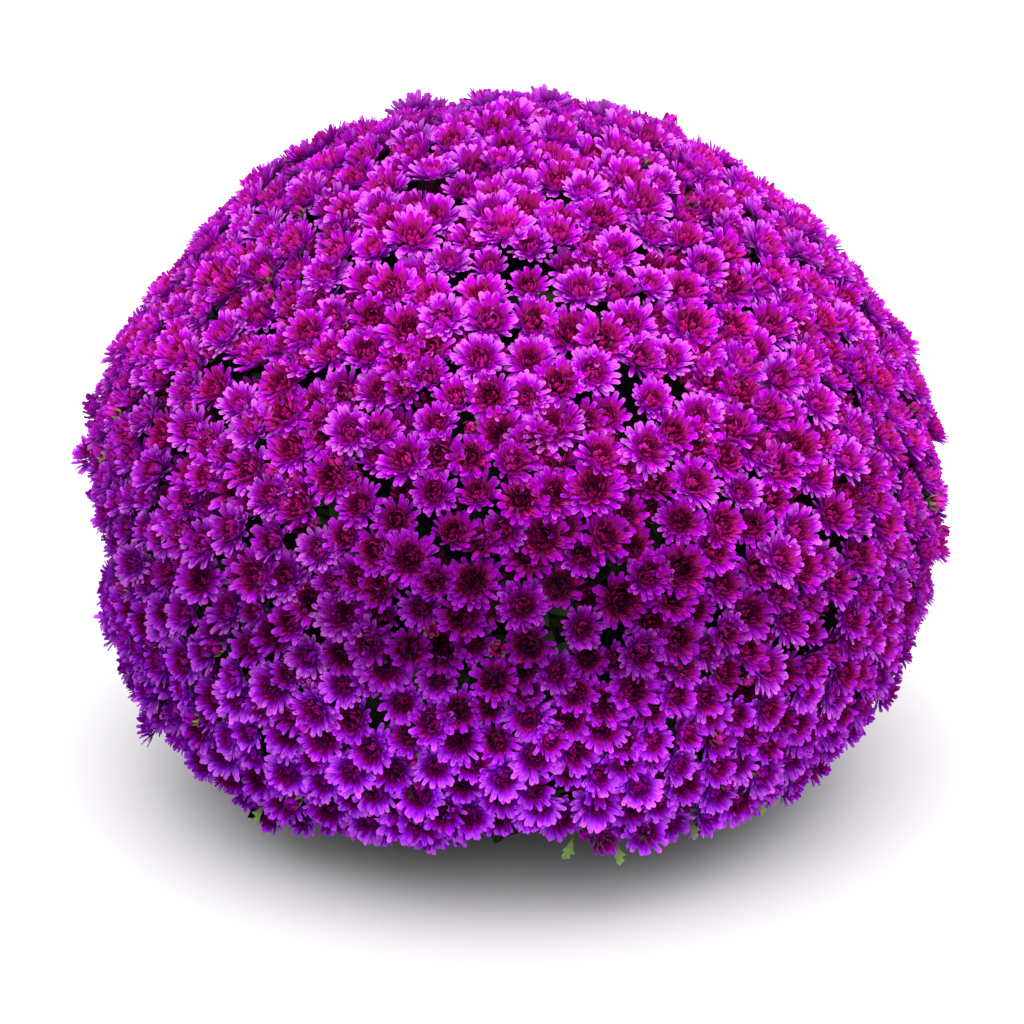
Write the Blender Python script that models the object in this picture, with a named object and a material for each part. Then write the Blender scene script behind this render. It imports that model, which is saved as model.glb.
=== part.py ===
"""A ball-shaped pot chrysanthemum: bloom sprays on leafy stems, standing in the soil of a plain round pot.

Metres, +Z up. The origin is the centre of the pot's base, and the front of the plant faces -Y.
Run it with blender --background --python part.py, or from the text editor.
"""

import math
import random

import bmesh
import bpy
from mathutils import Matrix, Vector
from mathutils.bvhtree import BVHTree
from mathutils.geometry import delaunay_2d_cdt

# The ball of blooms: half its width, how far it rises over its widest level, the radius of its lower
# curve, and how much slimmer than an ellipse its shoulders are. Angles are in degrees down from the top
BALL_RADIUS = 0.300
WIDEST_HEIGHT = 0.214
RISE = 0.271
DROP = 0.262
SHOULDER_SLIMNESS = 0.035
HEM_ANGLE = 131
GUIDE_ANGLE = 160

# The blooms. Guides beyond the hem, down to the guide angle, only close the cells along it
BLOOMS = 552
BLOOM_SCATTER = 0.30
GUIDE_SHARE = 1.94
BLOOM_UNEVENNESS = 0.004
PETAL_LENGTH = (0.0185, 0.0215)
PETAL_ROOM = 0.94
PETAL_DROOP = 0.003
VALLEY_DEPTH = 0.014
SPRAY_DEPTH = 0.030
BACK_INSET = 0.0015
LEAST_MITRE = 0.7
GAP = 0.0003

# The sprays: how many stand in each ring, and the angle down from the top at which the ring is centred
SPRAY_RINGS = (("upper", 50.0, 5), ("middle", 88.0, 6), ("lower", 124.0, 6))

# The pot, a turned shell with a rolled rim
POT_HEIGHT = 0.165
POT_BASE_RADIUS = 0.090
POT_RIM_RADIUS = 0.118
POT_WALL = 0.003
RIM_LIP = 0.006
RIM_DEPTH = 0.016
FOOT_HEIGHT = 0.004
FOOT_WIDTH = 0.010
BOSS_RADIUS = 0.020
POT_SIDES = 28
DRAIN_HOLES = 6
DRAIN_RADIUS = 0.006
DRAIN_CIRCLE = 0.058
DRAIN_TURN = math.radians(7.0)
SOIL_TOP = 0.147
SOIL_CROWN = (0.004, 0.005)
SOIL_SHOULDER = 0.55

# The stems, each with a branch to three sprays and twigs that reach under the hem
STEMS = 6
STEM_TURN = math.radians(15.0)
STEM_CIRCLE = 0.055
STEM_RADIUS = 0.0065
STEM_SIDES = 6
STEM_HOLE_DEPTH = 0.055
STEM_UPRIGHT = 0.012
FORK_HEIGHT = 0.222
FORK_CIRCLE = 0.075
BRANCH_RADIUS = (0.0040, 0.0024)
BRANCH_SIDES = 4
BRANCH_BOW = 0.05
BRANCH_LIFT = (0.10, 0.03)
BRANCH_END = 0.12
TWIG_TURNS = (math.radians(-14.0), math.radians(14.0))
TWIG_RADIUS = (0.0026, 0.0018)
HEM_TWIG = ((0.130, 0.215), (0.166, 0.130), (0.170, 0.055))

# The leaves: half outline as shares of length and of width, with the lobes and the notches between them
LEAF_LENGTH = (0.048, 0.060)
LEAF_WIDTH = 0.62
LEAF_THICKNESS = 0.0009
LEAF_CUP = 0.16
LEAF_OUTLINE = ((0.0, 0.05), (0.40, 0.42), (0.50, 0.20), (0.70, 0.50), (0.80, 0.22))
LEAF_TRIES = 40
BRANCH_LEAF_SAG = 0.15
HEM_LEAF_SAG = -0.12
HEM_LEAF_TURNS = (math.radians(-26.0), math.radians(0.0), math.radians(26.0))
HEM_LEAF_SLOPE = (math.radians(-48.0), math.radians(-30.0))

GOLDEN_ANGLE = math.pi * (3 - math.sqrt(5))


def clear_scene():
    for item in list(bpy.data.objects):
        bpy.data.objects.remove(item, do_unlink=True)


def material(name, colour, roughness):
    made = bpy.data.materials.new(name)
    made.use_nodes = True
    shader = made.node_tree.nodes["Principled BSDF"]
    shader.inputs["Base Color"].default_value = (*colour, 1.0)
    shader.inputs["Roughness"].default_value = roughness
    shader.inputs["Metallic"].default_value = 0.0
    return made


def object_from(name, mesh_data, finish):
    mesh = bpy.data.meshes.new(name)
    mesh_data.to_mesh(mesh)
    mesh_data.free()
    made = bpy.data.objects.new(name, mesh)
    bpy.context.scene.collection.objects.link(made)
    if finish:
        mesh.materials.append(finish)
    return made


def around(radius, azimuth, height):
    """A point at this azimuth, which is 0 at the front and grows to the right."""
    return Vector((radius * math.sin(azimuth), -radius * math.cos(azimuth), height))


# The bloom surface, a curve turned about the plant's axis
def outline_point(angle):
    """Radius and height of the ball at an angle down from its top, along two quarter ellipses."""
    fall = RISE if angle < math.pi / 2 else DROP
    slim = 1.0 - SHOULDER_SLIMNESS * math.sin(2 * angle) ** 2 if angle < math.pi / 2 else 1.0
    return BALL_RADIUS * math.sin(angle) * slim, WIDEST_HEIGHT + fall * math.cos(angle) * slim


def outline_curve():
    """Points of the outline from the top to past the hem, and the area turned up to each of them."""
    points = [outline_point(math.radians(degrees)) for degrees in range(GUIDE_ANGLE + 1)]
    areas = [0.0]
    for (ra, za), (rb, zb) in zip(points, points[1:]):
        areas.append(areas[-1] + math.pi * (ra + rb) * math.hypot(rb - ra, zb - za))
    return points, areas


def outline_at(curve, area):
    """Radius, height and outward normal where the turned area reaches this value."""
    points, areas = curve
    i = 1
    while i < len(areas) - 1 and areas[i] < area:
        i += 1
    share = (area - areas[i - 1]) / (areas[i] - areas[i - 1])
    (ra, za), (rb, zb) = points[i - 1], points[i]
    along = Vector((rb - ra, zb - za)).normalized()
    return ra + share * (rb - ra), za + share * (zb - za), Vector((-along.y, along.x))


def bloom_sites():
    """Places and normals of the blooms, by a spiral with a seeded scatter, and places on a unit sphere."""
    curve = outline_curve()
    areas = curve[1]
    each = areas[HEM_ANGLE] / BLOOMS
    spacing = math.sqrt(each)
    draw = random.Random(11)
    sites = []
    scatter = BLOOM_SCATTER * spacing
    for k in range(int(areas[-1] / each)):
        area = min(max((k + 0.5) * each, 0.0), areas[-1])
        radius, _, _ = outline_at(curve, area)
        shift = draw.uniform(-scatter, scatter)
        area = min(max(area + 2 * math.pi * max(radius, spacing / 2) * shift, 0.1 * each), areas[-1])
        radius, height, normal = outline_at(curve, area)
        azimuth = k * GOLDEN_ANGLE + draw.uniform(-scatter, scatter) / max(radius, spacing)
        lift = draw.uniform(-BLOOM_UNEVENNESS, BLOOM_UNEVENNESS)
        facing = around(normal.x, azimuth, normal.y)
        # The same share of the area on a sphere, so that neighbours there are neighbours here
        down = math.acos(1 - GUIDE_SHARE * area / areas[-1])
        on_sphere = around(math.sin(down), azimuth, math.cos(down))
        sites.append((around(radius, azimuth, height) + lift * facing, facing, on_sphere))
    return sites


def bloom_cells(sites):
    """For each bloom its neighbours in turn, each with the corner, a trio of blooms, that comes before it."""
    hull = bmesh.new()
    for _, _, on_sphere in sites:
        hull.verts.new(on_sphere)
    hull.verts.ensure_lookup_table()
    index = {vertex: i for i, vertex in enumerate(hull.verts)}
    bmesh.ops.convex_hull(hull, input=hull.verts)
    after = {}
    for face in hull.faces:
        trio = [index[vertex] for vertex in face.verts]
        first, second, third = (sites[i][2] for i in trio)
        if (second - first).cross(third - first).dot(first) < 0:
            trio.reverse()
        for i in range(3):
            after[trio[i], trio[(i + 1) % 3]] = (trio[(i + 2) % 3], frozenset(trio))
    hull.free()
    cells = {}
    for i in range(BLOOMS):
        start = next(b for a, b in after if a == i)
        ring = []
        here = start
        while True:
            following, corner = after[i, here]
            ring.append((here, corner))
            here = following
            if here == start:
                break
        cells[i] = ring
    return cells


def spray_centres():
    """Name and centre of each spray on the bloom surface, in the order in which the stems serve them."""
    _, top = outline_point(0.0)
    centres = [("bloom_spray_top", Vector((0, 0, top)))]
    for ring, (name, down, count) in enumerate(SPRAY_RINGS):
        radius, height = outline_point(math.radians(down))
        for i in range(count):
            azimuth = 2 * math.pi * (i + 0.5 * (ring % 2)) / count
            centres.append((f"bloom_spray_{name}_{i + 1}", around(radius, azimuth, height)))
    return centres


def back_triangles(loop, inner, outward):
    """The triangles that fill the loop through the inner points, as seen along outward."""
    points = loop + inner
    across = outward.orthogonal().normalized()
    upward = outward.cross(across)
    flat = [Vector((vertex.co.dot(across), vertex.co.dot(upward))) for vertex in points]
    rim = [(i, (i + 1) % len(loop)) for i in range(len(loop))]
    _, _, faces, sources, _, _ = delaunay_2d_cdt(flat, rim, [], 1, 1e-7)
    return [[points[sources[i][0]] for i in face] for face in faces]


def spray_rim(members, cells):
    """The corners along a spray's rim in turn, with the spray on the left."""
    own = set(members)
    following = {}
    for i in members:
        ring = cells[i]
        for j, (neighbour, corner) in enumerate(ring):
            if neighbour not in own:
                following[ring[j - 1][1]] = corner
    loop = [next(iter(following))]
    while following[loop[-1]] != loop[0]:
        loop.append(following[loop[-1]])
    if len(loop) != len(following):
        raise RuntimeError("a spray has more than one rim")
    return loop


def corner_frame(corner, sites):
    """The place and the outward normal where three blooms meet."""
    place = sum((sites[i][0] for i in corner), Vector()) / 3
    return place, sum((sites[i][1] for i in corner), Vector()).normalized()


def rim_insets(loop, sites):
    """For each corner of a rim, the way into the spray that moves both rim edges beside it by one."""
    frames = [corner_frame(corner, sites) for corner in loop]
    insets = {}
    for k, corner in enumerate(loop):
        place, normal = frames[k]
        before = normal.cross(place - frames[k - 1][0]).normalized()
        after = normal.cross(frames[(k + 1) % len(loop)][0] - place).normalized()
        insets[corner] = (before + after) / max(1 + before.dot(after), LEAST_MITRE)
    return insets


def spray_mesh(members, sites, cells):
    """One spray: each bloom a star raised over its cell, on a core that ends in a wall and a back."""
    own = set(members)
    loop = spray_rim(members, cells)
    insets = rim_insets(loop, sites)
    draw = random.Random(min(own))
    mesh = bmesh.new()
    tops = {}
    valleys = {}
    for i in members:
        for _, corner in cells[i]:
            if corner not in valleys:
                place, normal = corner_frame(corner, sites)
                tops[corner] = place + GAP * insets.get(corner, Vector())
                valleys[corner] = mesh.verts.new(tops[corner] - VALLEY_DEPTH * normal)
    for i in members:
        place, facing, _ = sites[i]
        heart = mesh.verts.new(place)
        ring = cells[i]
        for j, (_, corner) in enumerate(ring):
            previous = ring[j - 1][1]
            towards = (tops[previous] + tops[corner]) / 2 - place
            towards -= towards.dot(facing) * facing
            reach = min(draw.uniform(*PETAL_LENGTH), PETAL_ROOM * towards.length)
            tip = mesh.verts.new(place + reach * towards.normalized() - PETAL_DROOP * facing)
            mesh.faces.new((heart, valleys[previous], tip))
            mesh.faces.new((heart, tip, valleys[corner]))
            mesh.faces.new((tip, valleys[previous], valleys[corner]))
    backs = []
    for corner in loop:
        place, normal = corner_frame(corner, sites)
        backs.append(mesh.verts.new(place + BACK_INSET * insets[corner] - SPRAY_DEPTH * normal))
    for k, corner in enumerate(loop):
        before = valleys[loop[k - 1]]
        mesh.faces.new((valleys[corner], before, backs[k - 1]))
        mesh.faces.new((valleys[corner], backs[k - 1], backs[k]))
    inner = [i for i in members if all(neighbour in own for neighbour, _ in cells[i])]
    hearts = [mesh.verts.new(sites[i][0] - SPRAY_DEPTH * sites[i][1]) for i in inner]
    outward = sum((sites[i][1] for i in members), Vector()).normalized()
    for trio in back_triangles(backs, hearts, outward):
        mesh.faces.new(trio)
    bmesh.ops.recalc_face_normals(mesh, faces=mesh.faces)
    return mesh


def make_sprays(finish):
    sites = bloom_sites()
    cells = bloom_cells(sites)
    centres = spray_centres()
    members = {name: [] for name, _ in centres}
    for i in range(BLOOMS):
        nearest = min(centres, key=lambda entry: (entry[1] - sites[i][0]).length)
        members[nearest[0]].append(i)
    made = {}
    for name, _ in centres:
        made[name] = object_from(name, spray_mesh(members[name], sites, cells), finish)
    return made


# The pot and the soil, turned about the axis
def turned(profile, sides):
    """A closed solid from a profile that runs from the axis, round the section and back to the axis."""
    mesh = bmesh.new()
    rings = []
    for radius, height in profile:
        if radius == 0:
            rings.append([mesh.verts.new((0, 0, height))] * sides)
        else:
            corners = [around(radius, 2 * math.pi * i / sides, height) for i in range(sides)]
            rings.append([mesh.verts.new(corner) for corner in corners])
    for a, b in zip(rings, rings[1:]):
        for i in range(sides):
            j = (i + 1) % sides
            corners = list(dict.fromkeys((a[i], a[j], b[j], b[i])))
            mesh.faces.new(corners)
    bmesh.ops.recalc_face_normals(mesh, faces=mesh.faces)
    return mesh


def cut(target, cutters):
    """Takes closed cutters out of the target, each by a Boolean that is applied."""
    for cutter in cutters:
        cutter.hide_render = True
        cutter.display_type = "WIRE"
        modifier = target.modifiers.new("hole", "BOOLEAN")
        modifier.operation = "DIFFERENCE"
        modifier.object = cutter
        apply_modifiers(target)
        bpy.data.objects.remove(cutter, do_unlink=True)


def apply_modifiers(target):
    graph = bpy.context.evaluated_depsgraph_get()
    mesh = bpy.data.meshes.new_from_object(target.evaluated_get(graph))
    old = target.data
    target.modifiers.clear()
    target.data = mesh
    mesh.name = target.name
    bpy.data.meshes.remove(old)


def post(radius, sides, place, low, high, turn=0.0):
    """An upright prism between two heights."""
    mesh = bmesh.new()
    rings = []
    for height in (low, high):
        ring = []
        for i in range(sides):
            angle = turn + 2 * math.pi * i / sides
            corner = (place.x + radius * math.cos(angle), place.y + radius * math.sin(angle), height)
            ring.append(mesh.verts.new(corner))
        rings.append(ring)
    mesh.faces.new(rings[0])
    mesh.faces.new(rings[1])
    for i in range(sides):
        j = (i + 1) % sides
        mesh.faces.new((rings[0][i], rings[0][j], rings[1][j], rings[1][i]))
    bmesh.ops.recalc_face_normals(mesh, faces=mesh.faces)
    return object_from("post", mesh, None)


def pot_wall_radius(height):
    """Outer radius of the pot's tapered wall."""
    return POT_BASE_RADIUS + (POT_RIM_RADIUS - POT_BASE_RADIUS) * height / POT_HEIGHT


def make_pot(finish):
    foot_inner = POT_BASE_RADIUS - FOOT_WIDTH
    floor_top = FOOT_HEIGHT + POT_WALL
    lip = POT_HEIGHT - RIM_DEPTH
    # The base stands on an outer ring and a centre boss, with a recess between them
    profile = [
        (0, 0),
        (BOSS_RADIUS, 0),
        (BOSS_RADIUS, FOOT_HEIGHT),
        (foot_inner, FOOT_HEIGHT),
        (foot_inner, 0),
        (POT_BASE_RADIUS, 0),
        (pot_wall_radius(lip), lip),
        (pot_wall_radius(lip) + RIM_LIP, lip),
        (pot_wall_radius(POT_HEIGHT) + RIM_LIP, POT_HEIGHT),
        (pot_wall_radius(POT_HEIGHT) - POT_WALL, POT_HEIGHT),
        (pot_wall_radius(floor_top) - POT_WALL, floor_top),
        (0, floor_top),
    ]
    pot = object_from("pot", turned(profile, POT_SIDES), finish)
    holes = []
    for i in range(DRAIN_HOLES):
        place = around(DRAIN_CIRCLE, DRAIN_TURN + 2 * math.pi * i / DRAIN_HOLES, 0)
        holes.append(post(DRAIN_RADIUS, 8, place, -FOOT_HEIGHT, POT_HEIGHT / 4, DRAIN_TURN))
    cut(pot, holes)
    return pot


def stem_azimuth(number):
    return STEM_TURN + 2 * math.pi * number / STEMS


def make_soil(finish):
    low = FOOT_HEIGHT + POT_WALL + GAP
    inner = POT_WALL + 1.5 * GAP
    profile = [
        (0, low),
        (pot_wall_radius(low) - inner, low),
        (pot_wall_radius(SOIL_TOP) - inner, SOIL_TOP),
        (SOIL_SHOULDER * POT_RIM_RADIUS, SOIL_TOP + SOIL_CROWN[0]),
        (0, SOIL_TOP + SOIL_CROWN[1]),
    ]
    soil = object_from("soil", turned(profile, POT_SIDES), finish)
    holes = []
    hole_radius = STEM_RADIUS + GAP / math.cos(math.pi / STEM_SIDES)
    hole_floor = SOIL_TOP - STEM_HOLE_DEPTH - GAP
    for number in range(STEMS):
        place = around(STEM_CIRCLE, stem_azimuth(number), 0)
        holes.append(post(hole_radius, STEM_SIDES, place, hole_floor, POT_HEIGHT * 2))
    cut(soil, holes)
    return soil


# The leafy stems
def bend(points, steps):
    """Points along a smooth curve through a few given ones."""
    extended = [2 * points[0] - points[1], *points, 2 * points[-1] - points[-2]]
    curve = [points[0]]
    for a, b, c, d in zip(extended, extended[1:], extended[2:], extended[3:]):
        for i in range(1, steps + 1):
            t = i / steps
            square = (2 * a - 5 * b + 4 * c - d) * t**2
            cube = (3 * b - a - 3 * c + d) * t**3
            curve.append(0.5 * (2 * b + (c - a) * t + square + cube))
    return curve


def tube(points, radii, sides, end_normal=None):
    """A closed tube along the points. Its end faces end_normal where that is given."""
    mesh = bmesh.new()
    rings = []
    count = len(points) - 1
    side = None
    for k, place in enumerate(points):
        along = (points[min(k + 1, count)] - points[max(k - 1, 0)]).normalized()
        if k == count and end_normal is not None:
            along = end_normal
        reference = side or (Vector((1, 0, 0)) if abs(along.x) < 0.8 else Vector((0, 1, 0)))
        side = (reference - reference.dot(along) * along).normalized()
        other = along.cross(side)
        radius = radii[0] + (radii[1] - radii[0]) * k / count
        ring = []
        for i in range(sides):
            angle = 2 * math.pi * i / sides
            ring.append(mesh.verts.new(place + radius * (math.cos(angle) * side + math.sin(angle) * other)))
        rings.append(ring)
    mesh.faces.new(rings[0])
    mesh.faces.new(rings[-1])
    for a, b in zip(rings, rings[1:]):
        for i in range(sides):
            j = (i + 1) % sides
            mesh.faces.new((a[i], a[j], b[j], b[i]))
    bmesh.ops.recalc_face_normals(mesh, faces=mesh.faces)
    return object_from("tube", mesh, None)


def leaf_mesh(base, direction, upward, length, sag):
    """A lobed leaf as a thin plate, split alike on both faces, bent from upward by sag times its length."""
    direction = direction.normalized()
    across = direction.cross(upward).normalized()
    normal = across.cross(direction).normalized()
    mesh = bmesh.new()

    def row(share, half_width, thickness):
        """The leaf's two edges, or its tip, at a share of its length, as points on both faces."""
        middle = base + share * length * direction - sag * length * share**2 * normal
        lifted = 0.5 * thickness * normal
        edges = []
        for side in (-1, 1) if half_width else (0,):
            edge = middle + half_width * length * (side * LEAF_WIDTH * across + LEAF_CUP * normal)
            edges.append((mesh.verts.new(edge + lifted), mesh.verts.new(edge - lifted)))
        return edges

    rows = [row(share, half, LEAF_THICKNESS * (2 if share == 0 else 1)) for share, half in LEAF_OUTLINE]
    rows.append(row(1.0, 0, LEAF_THICKNESS))
    for a, b in zip(rows, rows[1:]):
        for face in (0, 1):
            mesh.faces.new((a[0][face], a[1][face], b[-1][face]))
            if len(b) == 2:
                mesh.faces.new((a[0][face], b[1][face], b[0][face]))
    ring = [edges[0] for edges in rows] + [edges[1] for edges in rows[-2::-1]]
    for a, b in zip(ring, ring[1:] + ring[:1]):
        mesh.faces.new((a[0], b[0], b[1]))
        mesh.faces.new((a[0], b[1], a[1]))
    bmesh.ops.recalc_face_normals(mesh, faces=mesh.faces)
    return mesh


def clear_leaf(draw_leaf, obstacles):
    """A leaf from the first draw that touches none of the obstacles, with its own tree, or None."""
    for _ in range(LEAF_TRIES):
        mesh = draw_leaf()
        tree = BVHTree.FromBMesh(mesh)
        if not any(tree.overlap(obstacle) for obstacle in obstacles):
            return object_from("leaf", mesh, None), tree
        mesh.free()
    return None


def join_pieces(name, trunk, pieces, finish):
    """Unites the trunk with all the pieces in one solid."""
    group = bpy.data.collections.new(name + "_pieces")
    for piece in pieces:
        group.objects.link(piece)
    modifier = trunk.modifiers.new("join", "BOOLEAN")
    modifier.operation = "UNION"
    modifier.operand_type = "COLLECTION"
    modifier.collection = group
    modifier.solver = "EXACT"
    apply_modifiers(trunk)
    for piece in pieces:
        bpy.data.objects.remove(piece, do_unlink=True)
    bpy.data.collections.remove(group)
    trunk.name = name
    trunk.data.name = name
    trunk.data.materials.clear()
    trunk.data.materials.append(finish)
    return trunk


def spray_seat(spray, start, aim):
    """Where a branch from start meets the spray's back on its way to aim, and the way that the back faces."""
    graph = bpy.context.evaluated_depsgraph_get()
    tree = BVHTree.FromObject(spray, graph)
    hit, normal, _, _ = tree.ray_cast(start, (aim - start).normalized())
    if hit is None:
        raise RuntimeError("a branch misses its spray")
    if normal.dot(start - hit) < 0:
        normal = -normal
    return hit + GAP * normal, -normal


def stem_tubes(number, served, sprays):
    """One stem from its hole in the soil, with a branch to each spray that it serves and twigs to the hem.

    Returns the trunk, the branches and twigs, and the paths of both.
    """
    azimuth = stem_azimuth(number)
    foot = around(STEM_CIRCLE, azimuth, SOIL_TOP - STEM_HOLE_DEPTH)
    fork = around(FORK_CIRCLE, azimuth, FORK_HEIGHT)
    above_soil = around(STEM_CIRCLE, azimuth, SOIL_TOP + STEM_UPRIGHT)
    trunk = tube([foot, above_soil, fork], (STEM_RADIUS, STEM_RADIUS), STEM_SIDES)
    start = fork - 0.4 * STEM_RADIUS * Vector((0, 0, 1))
    tubes = []
    branches = []
    for name, centre in served:
        seat, facing = spray_seat(sprays[name], fork, centre)
        reach = (seat - fork).length
        lift = BRANCH_LIFT[0] if seat.z < fork.z else BRANCH_LIFT[1]
        middle = fork + 0.5 * (seat - fork) + reach * around(BRANCH_BOW, azimuth, lift)
        path = bend([start, middle, seat - BRANCH_END * reach * facing, seat], 2)
        tubes.append(tube(path, BRANCH_RADIUS, BRANCH_SIDES, end_normal=facing))
        branches.append(path)
    twigs = []
    for turn in TWIG_TURNS:
        path = bend([start, *(around(radius, azimuth + turn, height) for radius, height in HEM_TWIG)], 2)
        tubes.append(tube(path, TWIG_RADIUS, BRANCH_SIDES))
        twigs.append(path)
    return trunk, tubes, branches, twigs


def add_leaves(number, stem, obstacles):
    """The leaves of one stem, along its branches and at the ends of its twigs, clear of the obstacles."""
    draw = random.Random(100 + number)
    _, _, branches, twigs = stem
    leaves = []
    trees = []

    def add(draw_leaf):
        found = clear_leaf(draw_leaf, obstacles + trees)
        if found:
            leaves.append(found[0])
            trees.append(found[1])

    for path in branches:
        base = path[3]

        def on_branch(base=base, along=(path[4] - path[2]).normalized()):
            outward = Vector((base.x, base.y, 0)).normalized()
            turn = Matrix.Rotation(draw.uniform(-math.pi, math.pi), 3, Vector((0, 0, 1)))
            direction = turn @ outward + 0.4 * along - Vector((0, 0, draw.uniform(0.1, 0.9)))
            return leaf_mesh(base, direction, Vector((0, 0, 1)), draw.uniform(*LEAF_LENGTH), BRANCH_LEAF_SAG)

        add(on_branch)
    for path in twigs:
        end = path[-1]
        azimuth = math.atan2(end.x, -end.y)
        for turn in HEM_LEAF_TURNS:

            def at_hem(base=end + Vector((0, 0, 0.0015)), azimuth=azimuth + turn):
                slope = draw.uniform(*HEM_LEAF_SLOPE)
                spread = azimuth + draw.uniform(-0.15, 0.15)
                direction = around(math.cos(slope), spread, math.sin(slope))
                return leaf_mesh(base, direction, Vector((0, 0, 1)), draw.uniform(*LEAF_LENGTH), HEM_LEAF_SAG)

            add(at_hem)
    return leaves, trees


def make_leafy_stems(sprays, pot, soil, finish):
    graph = bpy.context.evaluated_depsgraph_get()
    fixed = [BVHTree.FromObject(solid, graph) for solid in (*sprays.values(), pot, soil)]
    centres = spray_centres()
    stems = [stem_tubes(number, served_sprays(number, centres), sprays) for number in range(STEMS)]
    graph = bpy.context.evaluated_depsgraph_get()
    trees = [[BVHTree.FromObject(piece, graph) for piece in (trunk, *tubes)] for trunk, tubes, _, _ in stems]
    for number, stem in enumerate(stems):
        others = [tree for other in range(STEMS) if other != number for tree in trees[other]]
        leaves, leaf_trees = add_leaves(number, stem, fixed + others)
        trees[number] += leaf_trees
        join_pieces(f"leafy_stem_{number + 1}", stem[0], stem[1] + leaves, finish)


def served_sprays(number, centres):
    """The sprays that a stem's branches go to: one of each ring, and the top spray where none is left."""
    centre = dict(centres)
    names = [f"bloom_spray_{ring}_{number + 1}" for ring, _, _ in SPRAY_RINGS]
    return [(name, centre[name]) if name in centre else centres[0] for name in names]


def main():
    clear_scene()
    petal = material("petal", (0.46, 0.02, 0.52), 0.55)
    leaf_green = material("leaf", (0.05, 0.13, 0.03), 0.6)
    plastic = material("pot_plastic", (0.03, 0.03, 0.028), 0.5)
    earth = material("soil", (0.035, 0.022, 0.014), 0.95)
    sprays = make_sprays(petal)
    pot = make_pot(plastic)
    soil = make_soil(earth)
    make_leafy_stems(sprays, pot, soil, leaf_green)


main()
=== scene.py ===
"""The finish of a ball-shaped pot chrysanthemum: double blooms and buds, leaves, stems, soil and pot.

Metres, +Z up, the front of the plant faces -Y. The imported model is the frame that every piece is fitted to.
"""

import math
import random
from collections import namedtuple

import bmesh
import bpy
import numpy as np
from bpy.props import FloatProperty, FloatVectorProperty, IntProperty, PointerProperty
from bpy.types import Operator, Panel, PropertyGroup
from mathutils import Matrix, Vector


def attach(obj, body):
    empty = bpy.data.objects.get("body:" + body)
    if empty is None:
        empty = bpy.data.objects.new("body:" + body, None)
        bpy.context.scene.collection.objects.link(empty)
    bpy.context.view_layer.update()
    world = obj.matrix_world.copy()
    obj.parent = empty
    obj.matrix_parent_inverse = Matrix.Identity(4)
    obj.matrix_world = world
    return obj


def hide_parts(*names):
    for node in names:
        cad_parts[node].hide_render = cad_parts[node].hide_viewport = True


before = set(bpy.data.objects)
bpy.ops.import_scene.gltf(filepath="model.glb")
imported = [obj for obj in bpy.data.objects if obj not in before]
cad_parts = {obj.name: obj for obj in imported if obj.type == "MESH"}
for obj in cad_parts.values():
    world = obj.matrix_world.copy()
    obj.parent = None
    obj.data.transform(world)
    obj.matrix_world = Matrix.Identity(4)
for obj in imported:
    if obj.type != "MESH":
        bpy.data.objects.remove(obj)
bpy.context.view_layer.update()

bl_info = {
    "name": "Pot Chrysanthemum",
    "version": (1, 0, 0),
    "blender": (4, 5, 0),
    "location": "3D View > Sidebar > Chrysanthemum",
    "description": "Models the blooms, foliage, stems, soil and pot of a ball-shaped chrysanthemum",
    "category": "Object",
}

GOLDEN_ANGLE = math.pi * (3 - math.sqrt(5))
UP = Vector((0, 0, 1))
# Places closer than this are the same one
TOUCH = 1e-5

# Seeds of the random draws: the places of the open blooms, as in the model of the frame, how blooms and
# leaves stand, the twigs of the first stem, and the crumbs of the soil
PLACE_SEED = 11
BLOOM_SEED = 5
LEAF_SEED = 9
TWIG_SEED = 200
CRUMB_SEED = 77

# The ball of blooms, as in the model of the frame: the angles down from the top, in degrees, that the blooms
# and the outline reach, how unevenly the blooms stand, how slim the shoulder is, the height under which the
# hem is pushed out and up, and by what share
HEM_ANGLE = 131
GUIDE_ANGLE = 160
BLOOM_SCATTER = 0.30
BLOOM_UNEVENNESS = 0.004
SHOULDER_SLIMMING = 0.035
HEM_TOP = 0.085
HEM_TUCK = 0.22
# How many degrees past the open blooms the others and the leaves reach
FILLER_MARGIN = 3
LEAF_MARGIN = 6
# Where the plant is fuller or thinner than an even ball: azimuth in degrees from the front to the right,
# height, reach around and up, and how far it moves out and up
SWELLS = (
    (-84.0, 0.202, 0.105, 0.032, -0.036, 0.0),
    (-92.0, 0.262, 0.110, 0.045, -0.010, 0.0),
    (-104.0, 0.350, 0.075, 0.060, -0.008, 0.0),
    (-98.0, 0.428, 0.070, 0.045, 0.010, 0.0),
    (-82.0, 0.058, 0.090, 0.034, 0.008, 0.0),
    (80.0, 0.080, 0.065, 0.036, 0.010, 0.0),
    (45.0, 0.050, 0.070, 0.070, 0.006, 0.0),
    (-66.0, 0.040, 0.040, 0.050, 0.0, 0.018),
    (-44.0, 0.045, 0.040, 0.050, 0.0, -0.010),
    (0.0, 0.040, 0.160, 0.050, 0.0, 0.006),
    (1.0, 0.045, 0.026, 0.050, 0.0, 0.018),
    (11.0, 0.040, 0.034, 0.050, 0.0, 0.011),
    (0.0, 0.485, 0.060, 0.060, 0.0, -0.004),
)

# A part of the plant whose blooms are younger: its azimuth in degrees, its height and reach, and how much
# their tone and brightness differ there
YOUNG_PATCH = (2.0, 0.248, 0.120, -0.16, -0.39)

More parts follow.
